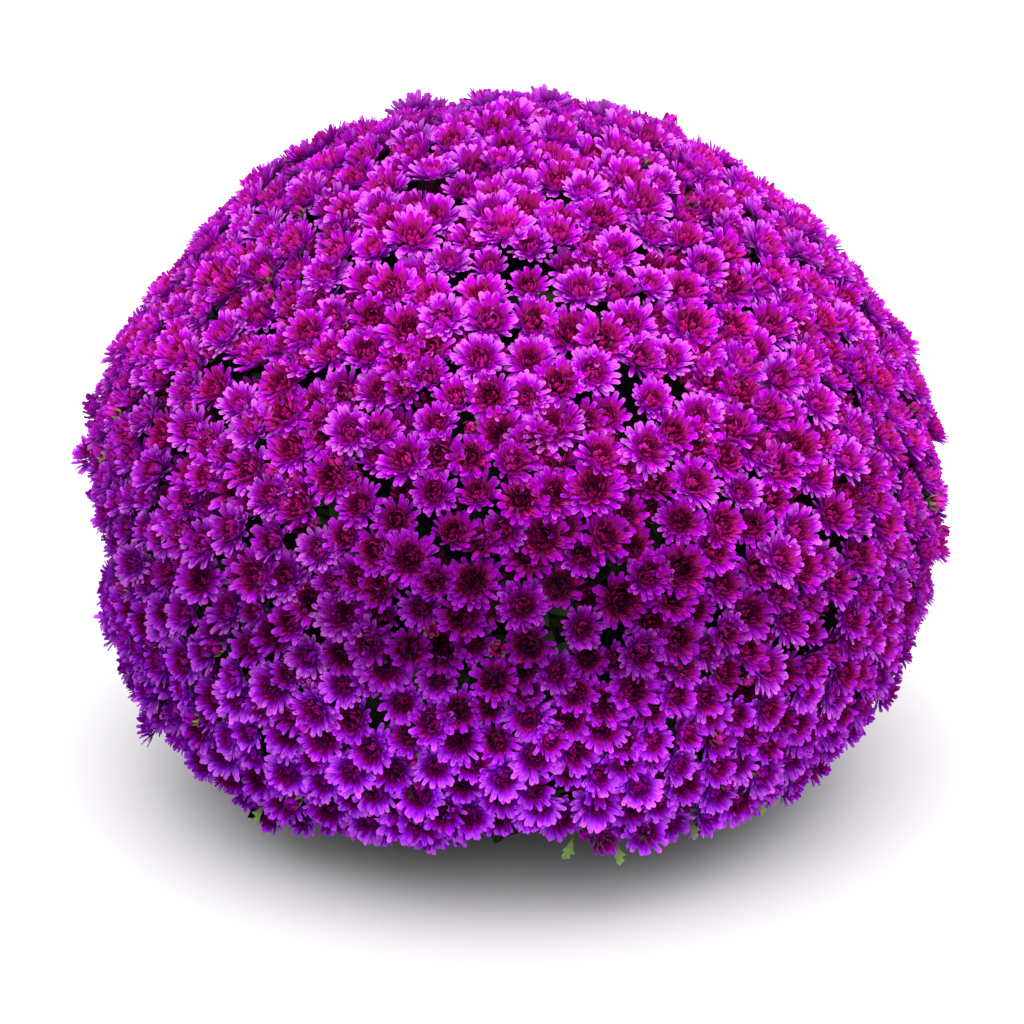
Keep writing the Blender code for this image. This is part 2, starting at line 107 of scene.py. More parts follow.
# Loose blooms at the outline: the kind, the place of its foot and the way that it faces
LOOSE_BLOOMS = (
    ("half", (-0.279, -0.010, 0.279), (-0.8, -0.5, 0.2)),
    ("bud", (-0.285, -0.004, 0.262), (-0.6, -0.2, 0.8)),
    ("rosette", (-0.284, -0.010, 0.245), (-0.7, -0.5, 0.5)),
    ("bud", (-0.287, -0.006, 0.211), (-0.6, -0.3, 0.8)),
    ("bud", (-0.277, -0.012, 0.221), (-0.6, -0.4, 0.7)),
    ("half", (-0.270, -0.012, 0.192), (-0.8, -0.3, -0.4)),
    ("rosette", (-0.270, -0.030, 0.136), (-0.6, -0.6, 0.4)),
    ("rosette", (-0.244, -0.070, 0.070), (-0.8, -0.5, -0.2)),
    ("bud", (0.108, 0.068, 0.455), (0.1, 0.1, 1.0)),
    ("bud", (0.046, -0.238, 0.074), (0.1, -0.6, -0.5)),
    ("half", (0.057, -0.234, 0.068), (0.2, -0.7, -0.5)),
    ("rosette", (0.084, -0.226, 0.067), (0.3, -0.9, -0.3)),
    ("rosette", (0.143, -0.184, 0.070), (0.5, -0.7, -0.3)),
)
# Light leaves at the outline: the place of the foot, the way that it grows, and its length
LOOSE_LEAVES = (
    ((0.040, -0.238, 0.068), (-0.4, -0.3, -1.0), 0.016),
    ((0.067, -0.234, 0.062), (0.3, -0.4, -1.0), 0.015),
    ((0.116, -0.212, 0.068), (0.3, -0.4, -1.0), 0.014),
    ((0.159, -0.186, 0.072), (0.6, -0.3, -0.9), 0.015),
    ((-0.160, -0.186, 0.066), (-0.5, -0.4, -0.9), 0.015),
    ((-0.142, -0.222, 0.128), (0.4, -0.5, 0.8), 0.014),
    ((-0.230, -0.112, 0.104), (-0.6, -0.5, -0.3), 0.014),
    ((-0.262, -0.020, 0.196), (-0.8, -0.3, -0.5), 0.015),
    ((-0.268, -0.004, 0.282), (-0.8, -0.2, 0.8), 0.014),
    ((-0.278, -0.010, 0.126), (-0.8, -0.4, -0.4), 0.014),
)
# The rings of sprays: name, angle down from the top in degrees, and how many
SPRAY_RINGS = (("upper", 50.0, 5), ("middle", 88.0, 6), ("lower", 124.0, 6))

# The stems, as in the model of the frame
STEMS = 6
STEM_TURN = math.radians(15.0)
STEM_CIRCLE = 0.055
STEM_RADIUS = 0.0065
STEM_FOOT = 0.092
STEM_KNEE = 0.159
FORK_HEIGHT = 0.222
FORK_CIRCLE = 0.075
TWIG_TURNS = (math.radians(-14.0), math.radians(14.0))
HEM_TWIG = ((0.130, 0.215), (0.166, 0.130), (0.170, 0.055))
# First and last radius of a trunk, a branch, a twig under a bloom and one at the hem
TRUNK_RADII = (STEM_RADIUS, 0.0056)
BRANCH_RADII = (0.0042, 0.0024)
TWIG_RADII = (0.0020, 0.0011)
HEM_TWIG_RADII = (0.0026, 0.0018)
# How far a branch ends short of the middle of its spray, how many of the nearest blooms have a twig, and how
# deep under the outline a twig ends
BRANCH_GAP = 0.036
TWIGS = (9, 32)
TWIG_DEPTH = 0.044
# How deep in the fork the branches start, how far one bows out, as a share of its reach, and how far a twig
# bows to any side
BRANCH_SINK = 0.4 * STEM_RADIUS
BRANCH_BOW = 0.05
TWIG_BOW = 0.012

# Half widths of a petal from root to tip, as shares of its width, at even steps of its length
PETAL_OUTLINE = (0.0, 0.42, 0.50, 0.34)
FLORET_OUTLINE = (0.0, 0.50, 0.36)
BRACT_OUTLINE = (0.0, 0.5, 0.12)

# A ring of petals: how many, their length and width, the radius of their roots, the rise of the root and the
# curl to the tip in degrees, the place of root and tip on the scale of petal colours, how much lighter their
# edges are, and their outline
Ring = namedtuple(
    "Ring", "petals length width root rise curl root_tone tip_tone edge outline", defaults=[FLORET_OUTLINE]
)

# The rings of the blooms, from the outside in
OPEN_RINGS = (
    Ring(16, 0.0130, 0.0038, 0.0034, 2.0, 16.0, 0.58, 0.94, 0.07, PETAL_OUTLINE),
    Ring(16, 0.0122, 0.0036, 0.0036, 16.0, 16.0, 0.54, 0.92, 0.08),
    Ring(14, 0.0106, 0.0033, 0.0044, 28.0, 22.0, 0.40, 0.86, 0.10),
    Ring(14, 0.0086, 0.0029, 0.0054, 36.0, 36.0, 0.20, 0.56, 0.22),
    Ring(13, 0.0074, 0.0026, 0.0046, 44.0, 50.0, 0.12, 0.36, 0.25),
    Ring(12, 0.0066, 0.0023, 0.0035, 52.0, 60.0, 0.08, 0.29, 0.24),
    Ring(9, 0.0057, 0.0020, 0.0022, 62.0, 54.0, 0.03, 0.26, 0.22),
    Ring(5, 0.0047, 0.0017, 0.0010, 74.0, 36.0, 0.00, 0.18, 0.14),
)
ROSETTE_RINGS = (
    Ring(14, 0.0108, 0.0035, 0.0038, 10.0, 18.0, 0.52, 0.91, 0.08),
    Ring(14, 0.0098, 0.0032, 0.0044, 26.0, 24.0, 0.34, 0.80, 0.12),
    Ring(13, 0.0084, 0.0029, 0.0048, 36.0, 40.0, 0.16, 0.46, 0.24),
    Ring(12, 0.0072, 0.0025, 0.0040, 46.0, 54.0, 0.10, 0.32, 0.25),
    Ring(9, 0.0062, 0.0022, 0.0027, 58.0, 56.0, 0.05, 0.28, 0.22),
    Ring(5, 0.0051, 0.0018, 0.0012, 72.0, 40.0, 0.01, 0.22, 0.14),
)
HALF_OPEN_RINGS = (
    Ring(12, 0.0088, 0.0030, 0.0040, 26.0, 62.0, 0.18, 0.48, 0.20),
    Ring(11, 0.0078, 0.0026, 0.0036, 42.0, 64.0, 0.11, 0.34, 0.25),
    Ring(9, 0.0066, 0.0022, 0.0026, 56.0, 62.0, 0.06, 0.28, 0.22),
    Ring(5, 0.0052, 0.0018, 0.0012, 72.0, 42.0, 0.01, 0.24, 0.14),
)
BUD_RINGS = (
    Ring(8, 0.0080, 0.0032, 0.0024, 56.0, 74.0, 0.20, 0.40, 0.14),
    Ring(5, 0.0074, 0.0026, 0.0012, 66.0, 70.0, 0.14, 0.32, 0.14),
)
# The models of each kind of bloom: its rings, the seed of the first, and for each how far its petals are
# raised, in degrees, and its size
KINDS = {
    "open": (OPEN_RINGS, 20, ((-3.0, 1.03), (2.0, 1.00), (7.0, 0.96), (13.0, 0.92))),
    "rosette": (ROSETTE_RINGS, 40, ((-4.0, 1.15), (2.0, 1.09), (8.0, 1.03), (14.0, 0.96))),
    "half": (HALF_OPEN_RINGS, 50, ((0.0, 1.14), (7.0, 1.0))),
    "bud": (BUD_RINGS, 60, ((0.0, 1.05), (0.0, 0.80))),
}
# How a kind fills the space between the others: its setting, the least room around one, the range of its lift
# from the outline, the seed of the draws, the places tried for one, its share of the sink, and its tones
Fill = namedtuple("Fill", "kind most room lift seed tries sink tones")
FILLS = (
    Fill("rosette", "rosettes", 0.0135, (-0.006, 0.004), 31, 30, 1.0, (-0.10, 0.05)),
    Fill("half", "halves", 0.0105, (-0.014, -0.003), 32, 12, 1.0, (-0.12, 0.02)),
    Fill("bud", "buds", 0.0095, (-0.003, 0.004), 33, 6, 0.8, (-0.04, 0.06)),
)
# How much open and loose blooms differ in tone, and all of them in size and brightness
OPEN_TONES = (-0.07, 0.09)
LOOSE_TONES = (-0.05, 0.05)
BLOOM_SIZES = (0.88, 1.12)
BLOOM_LIGHTS = (0.86, 1.12)
# What blooms that face up have over others: in lift, tone and size
UPWARD_LIFT = 0.005
UPWARD_TONE = 0.08
UPWARD_GROWTH = 0.12
# Painted light and shade of the blooms by the way that they face: the brightness of those that face the
# front; what the right gains and the left loses; what both sides lose; what blooms gain that face up, and
# that face halfway up, less so at the sides; and the painted light from the floor on those that face the
# front and down
FRONT_LIGHT = 0.84
RIGHT_LIGHT = 0.075
SIDE_LOSS = 0.135
UPWARD_LIGHT = 0.14
SLOPE_LIGHT = 1.85
SLOPE_LOSS = 0.3
FLOOR_LIGHT = 3.2
# How much the petals of a ring differ: in place, as a share of their spacing, in degrees about each axis, and
# in size, tone and brightness
PETAL_SWING = 0.22
PETAL_TURNS = (("X", 9), ("Y", 24), ("Z", 8))
PETAL_SIZES = (0.88, 1.14)
PETAL_TONES = (-0.06, 0.06)
PETAL_LIGHTS = (0.80, 1.20)
# Height of the roots of the outermost ring over the foot of a bloom, and of each ring over the last
ROOT_HEIGHT = 0.0022
RING_STEP = 0.0002
# How deep a petal is cupped, as a share of its half width, and how far its tip runs out, as one of its length
PETAL_CUP = 0.42
PETAL_TIP = 0.07
# How tone and brightness grow along a petal, as powers of the way to its tip, and how much darker the middle
# of its tip is than the edges. The brightness is painted shade, darkest at the root where the rings over it
# shade it
TONE_POWER = 1.2
LIGHT_POWER = 0.7
MIDDLE_LOSS = 0.1
# Brightness of a petal at its root, as a share of that at its tip, which paints the shade that the rings over
# it cast: for a pale outer petal, and how much is added towards the dark ones of the heart
ROOT_LIGHT = 0.25
HEART_LIGHT = 0.48
# Between these heights the petals turn from the painted shade colours at the hem, darker and more violet, to
# the lit colours above; the right, painted as the lit side, turns lower down
SHADED_ZONE = (0.04, 0.34)
SHADED_ZONE_TILT = 0.25
# The bracts under a bud: their ring, the height of their roots, and how much they differ in place, as a share
# of their spacing, and in size
BRACT_RING = Ring(6, 0.0062, 0.0026, 0.0014, 20.0, 80.0, 0.0, 1.0, 0.0, BRACT_OUTLINE)
BRACT_HEIGHT = 0.0004
BRACT_SWING = 0.25
BRACT_SIZES = (0.8, 1.25)
# The green cup under a bloom: its sides, its radius at the top and at the stalk, its depth, and how far the
# foot of the stalk may be off to a side
CALYX_SIDES = 4
CALYX_RADIUS = 0.0040
STALK_RADIUS = 0.0011
CALYX_DEPTH = 0.0046
STALK_SWAY = 0.002
# Half widths of a leaf from its stalk to its tip, with how far each edge point leans forward
LEAF_OUTLINE = (
    (0.03, 0.0), (0.05, 0.0), (0.36, 0.02), (0.20, 0.0), (0.50, 0.05), (0.24, 0.0), (0.44, 0.07),
    (0.17, 0.02), (0.05, 0.0),
)
YOUNG_LEAF_OUTLINE = (
    (0.03, 0.0), (0.05, 0.0), (0.14, 0.0), (0.18, 0.02), (0.36, 0.08), (0.18, 0.02), (0.26, 0.08),
    (0.12, 0.02), (0.02, 0.0),
)
# Width of a leaf, as a share of its length, where its half width is 0.5
LEAF_WIDTH = 0.78
# How far the tip of a leaf droops and how far its edges rise, as shares of its length: three full-grown ones
# and a young one
LEAF_BENDS = ((0.18, 0.22), (0.05, 0.30), (0.30, 0.10))
YOUNG_LEAF_BEND = (0.30, 0.90)
# The layers of leaves under the blooms: how deep they lie, one leaf in how many is a deep one, their sizes,
# and how much larger the deep ones are
LEAF_LAYER = (0.022, 0.046)
DEEP_LAYER = (0.058, 0.090)
DEEP_EVERY = 3
LEAF_SIZES = (0.8, 1.1)
DEEP_LEAF = 1.35
# How those leaves lie: how far off the spiral, in radians, how much more they point up or down than aside,
# how flat they lie on the ball, how far their faces tilt, and the tone of the palest, which few of them
# reach; the rest stay near the dark colour, a painted shade
LEAF_SCATTER = 0.1
LEAF_UPRIGHTNESS = 0.5
LEAF_FLATNESS = 0.75
LEAF_TILT = 0.45
LEAF_TONE = 0.17
# How far the faces of the loose leaves turn up, and the ranges of tone of their roots and tips
LOOSE_LEAF_TILT = 0.4
LOOSE_LEAF_TONES = ((0.00, 0.30), (0.55, 1.00))
# The leaves at the end of a twig: how they spread and how far each may be off, their slope in degrees, their
# size and their tone, kept low so that they are nearly the dark painted shade
TWIG_LEAF_SPREAD = (-0.45, 0.0, 0.45)
TWIG_LEAF_SWING = 0.15
TWIG_LEAF_SLOPES = (6, 24)
TWIG_LEAF_SIZES = (0.60, 0.80)
TWIG_LEAF_TONES = (0.05, 0.25)

# The pot: its sides, how high its underside is recessed, the profile of the boss under its middle, the width
# of the ring that it stands on and the slope and height of that ring's inner edge, the rounding of its edges
# and of the outside of its rim, the depth of its lip, and the heights of rows on and in its wall
POT_SIDES = 96
POT_RECESS = 0.004
BOSS = ((0, 0.0006), (0.019, 0.0), (0.0205, 0.0008), (0.021, POT_RECESS))
FOOT_WIDTH = 0.010
FOOT_SLOPE = 0.0005
FOOT_EDGE = 0.0004
EDGE_ROUND = 0.0012
RIM_ROUND = 0.0022
LIP_DEPTH = 0.016
OUTSIDE_ROWS = (0.05, 0.10)
INSIDE_ROW = 0.09
# The pot's drain holes: how many, the radius of their circle and their own, and how far they are turned
DRAINS = 6
DRAIN_CIRCLE = 0.058
DRAIN_RADIUS = 0.006
DRAIN_TURN = math.radians(7)
# The soil: its sides, the height of its foot, its gap to the wall, the width of the smooth ring along the
# wall, how far it rises in the middle, the steps of its top and how rough it is
SOIL_SIDES = 72
SOIL_FOOT = 0.0075
SOIL_GAP = 0.0004
SOIL_EDGE = 0.004
SOIL_CROWN = 0.004
SOIL_STEPS = 22
SOIL_ROUGHNESS = 0.0022
# Its loose crumbs: how many, their radius and how far each is stretched in three directions, the height of
# their middles over the soil at the wall, and how much higher they lie in the middle
CRUMBS = 260
CRUMB_RADIUS = 0.0022
CRUMB_STRETCHES = ((0.5, 1.5), (0.5, 1.3), (0.4, 0.9))
CRUMB_HEIGHT = 0.001
CRUMB_RISE = 0.003

# The width of the floor
FLOOR_WIDTH = 24.0
# The key light: how far it is tilted to the front and the side, and how wide it is, in degrees
KEY_TILT = (34, 1)
KEY_WIDTH = 60
# The colour of the sky's light, and its strength at the horizon, as a share of that overhead
SKY_TINT = (1.0, 0.99, 1.0)
HORIZON_LIGHT = 0.15
# The camera's film in millimetres and pixels, and where the middle of the ball is in the picture, in pixels
# to the left of its middle and over it
FILM_WIDTH = 36.0
FILM_PIXELS = 1024
SHIFT_IN_PICTURE = (2, 18)


# Settings that a user would change


def distance(name, description, default):
    return FloatProperty(
        name=name, description=description, default=default, min=0.0, unit="LENGTH", precision=4
    )


def amount(name, description, default):
    return FloatProperty(name=name, description=description, default=default)


def angle(name, description, degrees):
    return FloatProperty(name=name, description=description, default=math.radians(degrees), subtype="ANGLE")


def number_of(name, description, default, least=0):
    return IntProperty(name=name, description=description, default=default, min=least)


def colour(name, description, default):
    return FloatVectorProperty(
        name=name, description=description, default=default, size=3, min=0.0, max=1.0, subtype="COLOR"
    )


class BallSettings(PropertyGroup):
    radius: distance("Radius", "Half the width of the ball of blooms", 0.300)
    widest: distance("Widest height", "Height at which the ball is widest", 0.214)
    rise: distance("Rise", "How far the ball rises over its widest height", 0.271)
    drop: distance("Drop", "Radius of the lower curve of the ball", 0.262)
    blooms: number_of("Open blooms", "How many open blooms cover the ball", 552, 60)
    rosettes: number_of("Young blooms", "The most that stand between them", 980)
    halves: number_of("Half-open blooms", "The most, deeper between the others", 400)
    buds: number_of("Buds", "The most that stand between the blooms", 120)


class BloomSettings(PropertyGroup):
    sink: distance("Sink", "Depth of a bloom's base under the outline of the ball", 0.0120)
    rise: angle("Rise", "How far the blooms at the sides turn up", 17.0)
    follow: amount("Follow", "How far they turn with the slope of the ball", 0.60)
    wobble: amount("Wobble", "How much the ways that they face differ", 0.15)
    stalk: distance("Stalk", "Length of the stalk under a bloom", 0.034)
    heart: colour("Heart", "Deep crimson between the inner petals", (0.085, 0.000, 0.040))
    crimson: colour("Crimson", "Inner petals", (0.460, 0.002, 0.120))
    rose: colour("Rose", "Edges of the inner petals", (0.690, 0.030, 0.370))
    magenta: colour("Magenta", "Middle of the petals", (0.600, 0.001, 0.600))
    violet: colour("Violet", "Outer part of the petals", (0.650, 0.003, 0.880))
    lilac: colour("Lilac", "Tips of the outer petals", (0.910, 0.160, 1.000))
    # The petal colours near the hem are painted shade: darker and more violet versions of those above
    shaded_heart: colour("Low heart", "Between the inner petals near the hem", (0.035, 0.000, 0.025))
    shaded_crimson: colour("Low crimson", "Inner petals near the hem", (0.270, 0.001, 0.115))
    shaded_violet: colour("Low violet", "Middle of the petals near the hem", (0.410, 0.001, 0.980))
    shaded_lilac: colour("Low lilac", "Petal tips near the hem", (0.820, 0.150, 1.000))


class LeafSettings(PropertyGroup):
    length: distance("Length", "Length of a full-grown leaf", 0.050)
    count: number_of("Leaves", "Leaves in the layers under the blooms", 1800)
    # Not a leaf colour but painted shade: near-black, for the leaves deep in the plant
    dark: colour("Dark", "Leaves deep in the plant", (0.003, 0.003, 0.006))
    light: colour("Light", "Leaves at the hem", (0.270, 0.460, 0.120))
    bract: colour("Bracts", "Bracts under the buds", (0.330, 0.330, 0.060))
    vein: colour("Veins", "Midrib and side veins", (0.330, 0.500, 0.160))
    stem: colour("Stems", "Young stems and stalks", (0.030, 0.055, 0.018))
    bark: colour("Bark", "Old stems near the soil", (0.110, 0.070, 0.035))


class PotSettings(PropertyGroup):
    height: distance("Height", "Height of the pot", 0.165)
    base: distance("Base radius", "Radius of the ring that the pot stands on", 0.090)
    rim: distance("Rim radius", "Radius of the wall at its top", 0.118)
    wall: distance("Wall", "Thickness of the wall", 0.003)
    lip: distance("Lip", "How far the rolled rim stands out", 0.006)
    soil_top: distance("Soil height", "Height of the soil along the wall", 0.147)
    plastic: colour("Plastic", "Moulded plastic of the pot", (0.022, 0.022, 0.021))
    dust: colour("Dust", "Dry soil caught on the pot", (0.150, 0.120, 0.090))
    soil: colour("Soil", "Moist potting soil", (0.030, 0.018, 0.010))
    crumb: colour("Crumbs", "Dry crumbs and bark in the soil", (0.120, 0.078, 0.045))


class StageSettings(PropertyGroup):
    distance: distance("Camera distance", "From the camera to the middle of the ball", 2.0)
    elevation: angle("Camera height", "Angle over the horizon", 20.0)
    lens: amount("Lens", "Focal length in millimetres", 101.0)
    floor: colour("Floor", "Pale floor", (0.830, 0.830, 0.830))
    sky: amount("Sky light", "Strength of the light overhead", 1.52)
    sun: amount("Key light", "Strength of the soft key light", 2.40)


# Modelling


def deselect_all():
    bpy.ops.object.select_all(action="DESELECT")


def select(*items):
    """Selects these and nothing else, the first as the active one."""
    deselect_all()
    for item in items:
        item.select_set(True)
    bpy.context.view_layer.objects.active = items[0]


def start_edit(item):
    select(item)
    bpy.ops.object.mode_set(mode="EDIT")


def end_edit():
    bpy.ops.object.mode_set(mode="OBJECT")


def pick(item, test):
    """Selects the vertices of the edited mesh whose place passes the test, and nothing else."""
    mesh = bmesh.from_edit_mesh(item.data)
    mesh.select_mode = {"VERT"}
    for vertex in mesh.verts:
        vertex.select = test(vertex.co)
    mesh.select_flush_mode()
    bmesh.update_edit_mesh(item.data)


def copy_of(item, matrix):
    """A copy of the item with its own mesh, which the matrix has moved."""
    made = item.copy()
    made.data = item.data.copy()
    made.data.transform(matrix)
    bpy.context.scene.collection.objects.link(made)
    return made


def named(name):
    """The active object, with this name."""
    made = bpy.context.object
    made.name = name
    made.data.name = name
    return made


def joined(name, items):
    """The items as one object, whose transforms are applied to its mesh."""
    select(*items)
    bpy.ops.object.join()
    bpy.ops.object.transform_apply(location=True, rotation=True, scale=True)
    return named(name)


def discard(items):
    for item in items:
        mesh = item.data
        bpy.data.objects.remove(item, do_unlink=True)
        bpy.data.meshes.remove(mesh)


def write_values(mesh, name, values):
    attribute = mesh.attributes.get(name) or mesh.attributes.new(name, "FLOAT", "POINT")
    attribute.data.foreach_set("value", np.asarray(values, np.float32))


def fill_values(mesh, name, value):
    write_values(mesh, name, np.full(len(mesh.vertices), value))


def read_values(mesh, name):
    values = np.empty(len(mesh.vertices), np.float32)
    mesh.attributes[name].data.foreach_get("value", values)
    return values


def read_places(mesh):
    places = np.empty(3 * len(mesh.vertices), np.float32)
    mesh.vertices.foreach_get("co", places)
    return places.reshape(-1, 3)


def dress(item, surface):
    item.data.materials.clear()
    item.data.materials.append(surface)


def shade_smooth(item):
    select(item)
    bpy.ops.object.shade_smooth()


def tubes(name, paths, sides):
    """Round tubes along paths of (place, radius) points, closed at both ends, as one mesh."""
    deselect_all()
    bpy.ops.curve.primitive_bezier_curve_add()
    curve = bpy.context.object.data
    curve.splines.clear()
    curve.dimensions = "3D"
    curve.bevel_depth = 1.0
    curve.bevel_resolution = sides // 4 - 1
    curve.use_fill_caps = True
    for path in paths:
        spline = curve.splines.new("POLY")
        spline.points.add(len(path) - 1)
        for point, (place, radius) in zip(spline.points, path):
            point.co = (*place, 1.0)
            point.radius = radius
    bpy.ops.object.convert(target="MESH")
    return named(name)


def bend(points, steps):
    """Points along a smooth curve through a few given ones."""
    extended = [2 * points[0] - points[1], *points, 2 * points[-1] - points[-2]]
    curve = [points[0]]
    for a, b, c, d in zip(extended, extended[1:], extended[2:], extended[3:]):
        for i in range(1, steps + 1):
            t = i / steps
            square = (2 * a - 5 * b + 4 * c - d) * t**2
            cube = (3 * b - a - 3 * c + d) * t**3
            curve.append(0.5 * (2 * b + (c - a) * t + square + cube))
    return curve


def tapered(points, first, last):
    count = len(points) - 1
    return [(place, first + (last - first) * i / count) for i, place in enumerate(points)]


def turned(name, profile, steps):
    """A closed shell from a profile of (radius, height) points that starts and ends on the axis."""
    deselect_all()
    bpy.ops.mesh.primitive_plane_add(size=1.0)
    made = named(name)
    start_edit(made)
    pick(made, lambda place: place.x > 0 or place.y > 0)
    bpy.ops.mesh.delete(type="VERT")
    bpy.ops.mesh.select_all(action="SELECT")
    here = Vector((-0.5, -0.5, 0))
    first = Vector((profile[0][0], 0, profile[0][1]))
    bpy.ops.transform.translate(value=first - here)
    here = first
    for radius, height in profile[1:]:
        there = Vector((radius, 0, height))
        bpy.ops.mesh.extrude_region_move(TRANSFORM_OT_translate={"value": there - here})
        here = there
    bpy.ops.mesh.select_all(action="SELECT")
    bpy.ops.mesh.spin(steps=steps, angle=2 * math.pi, center=(0, 0, 0), axis=(0, 0, 1))
    bpy.ops.mesh.select_all(action="SELECT")
    bpy.ops.mesh.remove_doubles(threshold=TOUCH)
    bpy.ops.mesh.normals_make_consistent(inside=False)
    end_edit()
    return made


# Materials


class Wire:
    """A number at a node's output. Arithmetic on it adds Math nodes."""

    def __init__(self, surface, socket):
        self.surface = surface
        self.socket = socket

    def maths(self, operation, *values):
        return self.surface.node("ShaderNodeMath", {"operation": operation}, dict(enumerate(values)))

    def __add__(self, other):
        return self.maths("ADD", self, other)

    def __radd__(self, other):
        return self.maths("ADD", other, self)

    def __sub__(self, other):
        return self.maths("SUBTRACT", self, other)

    def __rsub__(self, other):
        return self.maths("SUBTRACT", other, self)

    def __mul__(self, other):
        return self.maths("MULTIPLY", self, other)

    def __rmul__(self, other):
        return self.maths("MULTIPLY", other, self)

    def clamped(self):
        return self.surface.node("ShaderNodeClamp", {}, {"Value": self})

    def above(self, low, high):
        """0 up to low, 1 from high on, and a smooth rise between them."""
        sockets = {"Value": self, "From Min": low, "From Max": high}
        return self.surface.node("ShaderNodeMapRange", {"interpolation_type": "SMOOTHSTEP"}, sockets)


class Surface:
    """A material in the making, with one Principled shader."""

    def __init__(self, name, constants):
        self.material = bpy.data.materials.new(name)
        self.material.use_nodes = True
        self.tree = self.material.node_tree
        self.shader = self.tree.nodes["Principled BSDF"]
        for socket, value in constants.items():
            self.shader.inputs[socket].default_value = value

    def node(self, kind, settings, sockets, output=0):
        """Adds a node: its settings first, then its sockets' values or links. Returns one of its outputs."""
        made = self.tree.nodes.new(kind)
        for name, value in settings.items():
            if name == "stops":
                self.set_stops(made.color_ramp, value)
            else:
                setattr(made, name, value)
        for name, value in sockets.items():
            if isinstance(value, Wire):
                self.tree.links.new(value.socket, made.inputs[name])
            else:
                made.inputs[name].default_value = value
        return Wire(self, made.outputs[output])

    def set_stops(self, ramp, stops):
        while len(ramp.elements) < len(stops):
            ramp.elements.new(1.0)
        for element, (position, shade) in zip(ramp.elements, stops):
            element.position = position
            element.color = (*shade, 1.0)

    def place(self):
        return self.node("ShaderNodeTexCoord", {}, {}, "Object")

    def coordinate(self, name, vector=None):
        return self.node("ShaderNodeSeparateXYZ", {}, {"Vector": vector or self.place()}, name)

    def value(self, name):
        return self.node("ShaderNodeAttribute", {"attribute_name": name}, {}, "Fac")

    def noise(self, scale, detail=2.0, where=None):
        sockets = {"Vector": where or self.place(), "Scale": scale, "Detail": detail}
        return self.node("ShaderNodeTexNoise", {}, sockets, "Fac")

    def mixed(self, share, first, second, blend="MIX"):
        def shade(value):
            return value if isinstance(value, Wire) else (*value, 1.0)

        sockets = {0: share, 6: shade(first), 7: shade(second)}
        return self.node("ShaderNodeMix", {"data_type": "RGBA", "blend_type": blend}, sockets, 2)

    def feed(self, socket, wire):
        self.tree.links.new(wire.socket, self.shader.inputs[socket])

    def bump(self, height, distance, strength=1.0):
        self.feed("Normal", self.node(
            "ShaderNodeBump", {}, {"Height": height, "Distance": distance, "Strength": strength}
        ))


def darker(shade, share):
    return tuple(share * part for part in shade)


def petal_surface(settings):
    """The petals, whose tone picks the colour and whose light, painted light and shade, makes it darker or
    brighter.
    """
    made = Surface("petal", {"Specular IOR Level": 0.02})
    tone = made.value("tone")
    light = made.value("light")
    stops = (
        (0.00, settings.heart),
        (0.24, settings.crimson),
        (0.40, settings.rose),
        (0.58, settings.magenta),
        (0.80, settings.violet),
        (1.00, settings.lilac),
    )
    # A second scale of colours: painted shade for the petals low on the ball
    shaded_stops = (
        (0.00, settings.shaded_heart),
        (0.26, settings.shaded_crimson),
        (0.60, settings.shaded_violet),
        (1.00, settings.shaded_lilac),
    )
    hue = made.node("ShaderNodeValToRGB", {"stops": stops}, {"Fac": tone})
    shaded_hue = made.node("ShaderNodeValToRGB", {"stops": shaded_stops}, {"Fac": tone})
    side = made.coordinate("X")
    height = made.coordinate("Z")
    # Below the zone the petals take the painted shade colours, which reach less high on the right than on the
    # left
    shaded = made.mixed(1.0 - (height + SHADED_ZONE_TILT * side).above(*SHADED_ZONE), hue, shaded_hue)
    grain = made.noise(420.0, 2.0)
    # The light attribute, painted light and shade, with a fine random grain
    grey = {name: light * (0.88 + 0.24 * grain) for name in ("Red", "Green", "Blue")}
    bright = made.node("ShaderNodeCombineColor", {}, grey)
    made.feed("Base Color", made.mixed(1.0, shaded, bright, "MULTIPLY"))
    made.feed("Roughness", 0.62 - 0.16 * tone)
    made.bump(grain, 0.0004, 0.5)
    return made.material


def leaf_surface(settings):
    made = Surface("leaf", {"Specular IOR Level": 0.08})
    uv = made.node("ShaderNodeUVMap", {"uv_map": "UVMap"}, {})
    across = made.coordinate("X", uv) - 0.5
    along = made.coordinate("Y", uv)
    aside = across.maths("ABSOLUTE", across)
    rib = 1.0 - aside.above(0.02, 0.07)
    slant = across.maths("SINE", (along * 34.0) - (aside * 30.0))
    side_veins = slant.above(0.90, 1.00) * (1.0 - along.above(0.85, 1.0))
    veins = rib.maths("MAXIMUM", rib, 0.6 * side_veins)
    # Tone runs from the dark colour, a near-black painted shade for leaves deep in the plant, to the green of
    # lit leaves
    tone = made.value("tone").clamped()
    blade = made.mixed(tone, settings.dark, settings.light)
    mottled = made.mixed(made.noise(130.0, 3.0) * tone * 0.7, blade, darker(settings.light, 0.45))
    made.feed("Base Color", made.mixed(veins * 0.55 * tone, mottled, settings.vein))
    made.feed("Roughness", 0.46 + 0.2 * made.noise(60.0))
    made.bump(veins * -0.6 + made.noise(500.0) * 0.3, 0.0006, 0.8)
    return made.material


def bract_surface(settings):
    made = Surface("bract", {"Roughness": 0.6, "Specular IOR Level": 0.2})
    tip = made.value("tone").above(0.2, 1.0)
    fresh = made.mixed(tip * 0.6, settings.bract, settings.light)
    grain = made.noise(900.0)
    made.feed("Base Color", made.mixed(grain * 0.4, fresh, darker(settings.bract, 0.4)))
    made.bump(grain, 0.0003, 0.5)
    return made.material


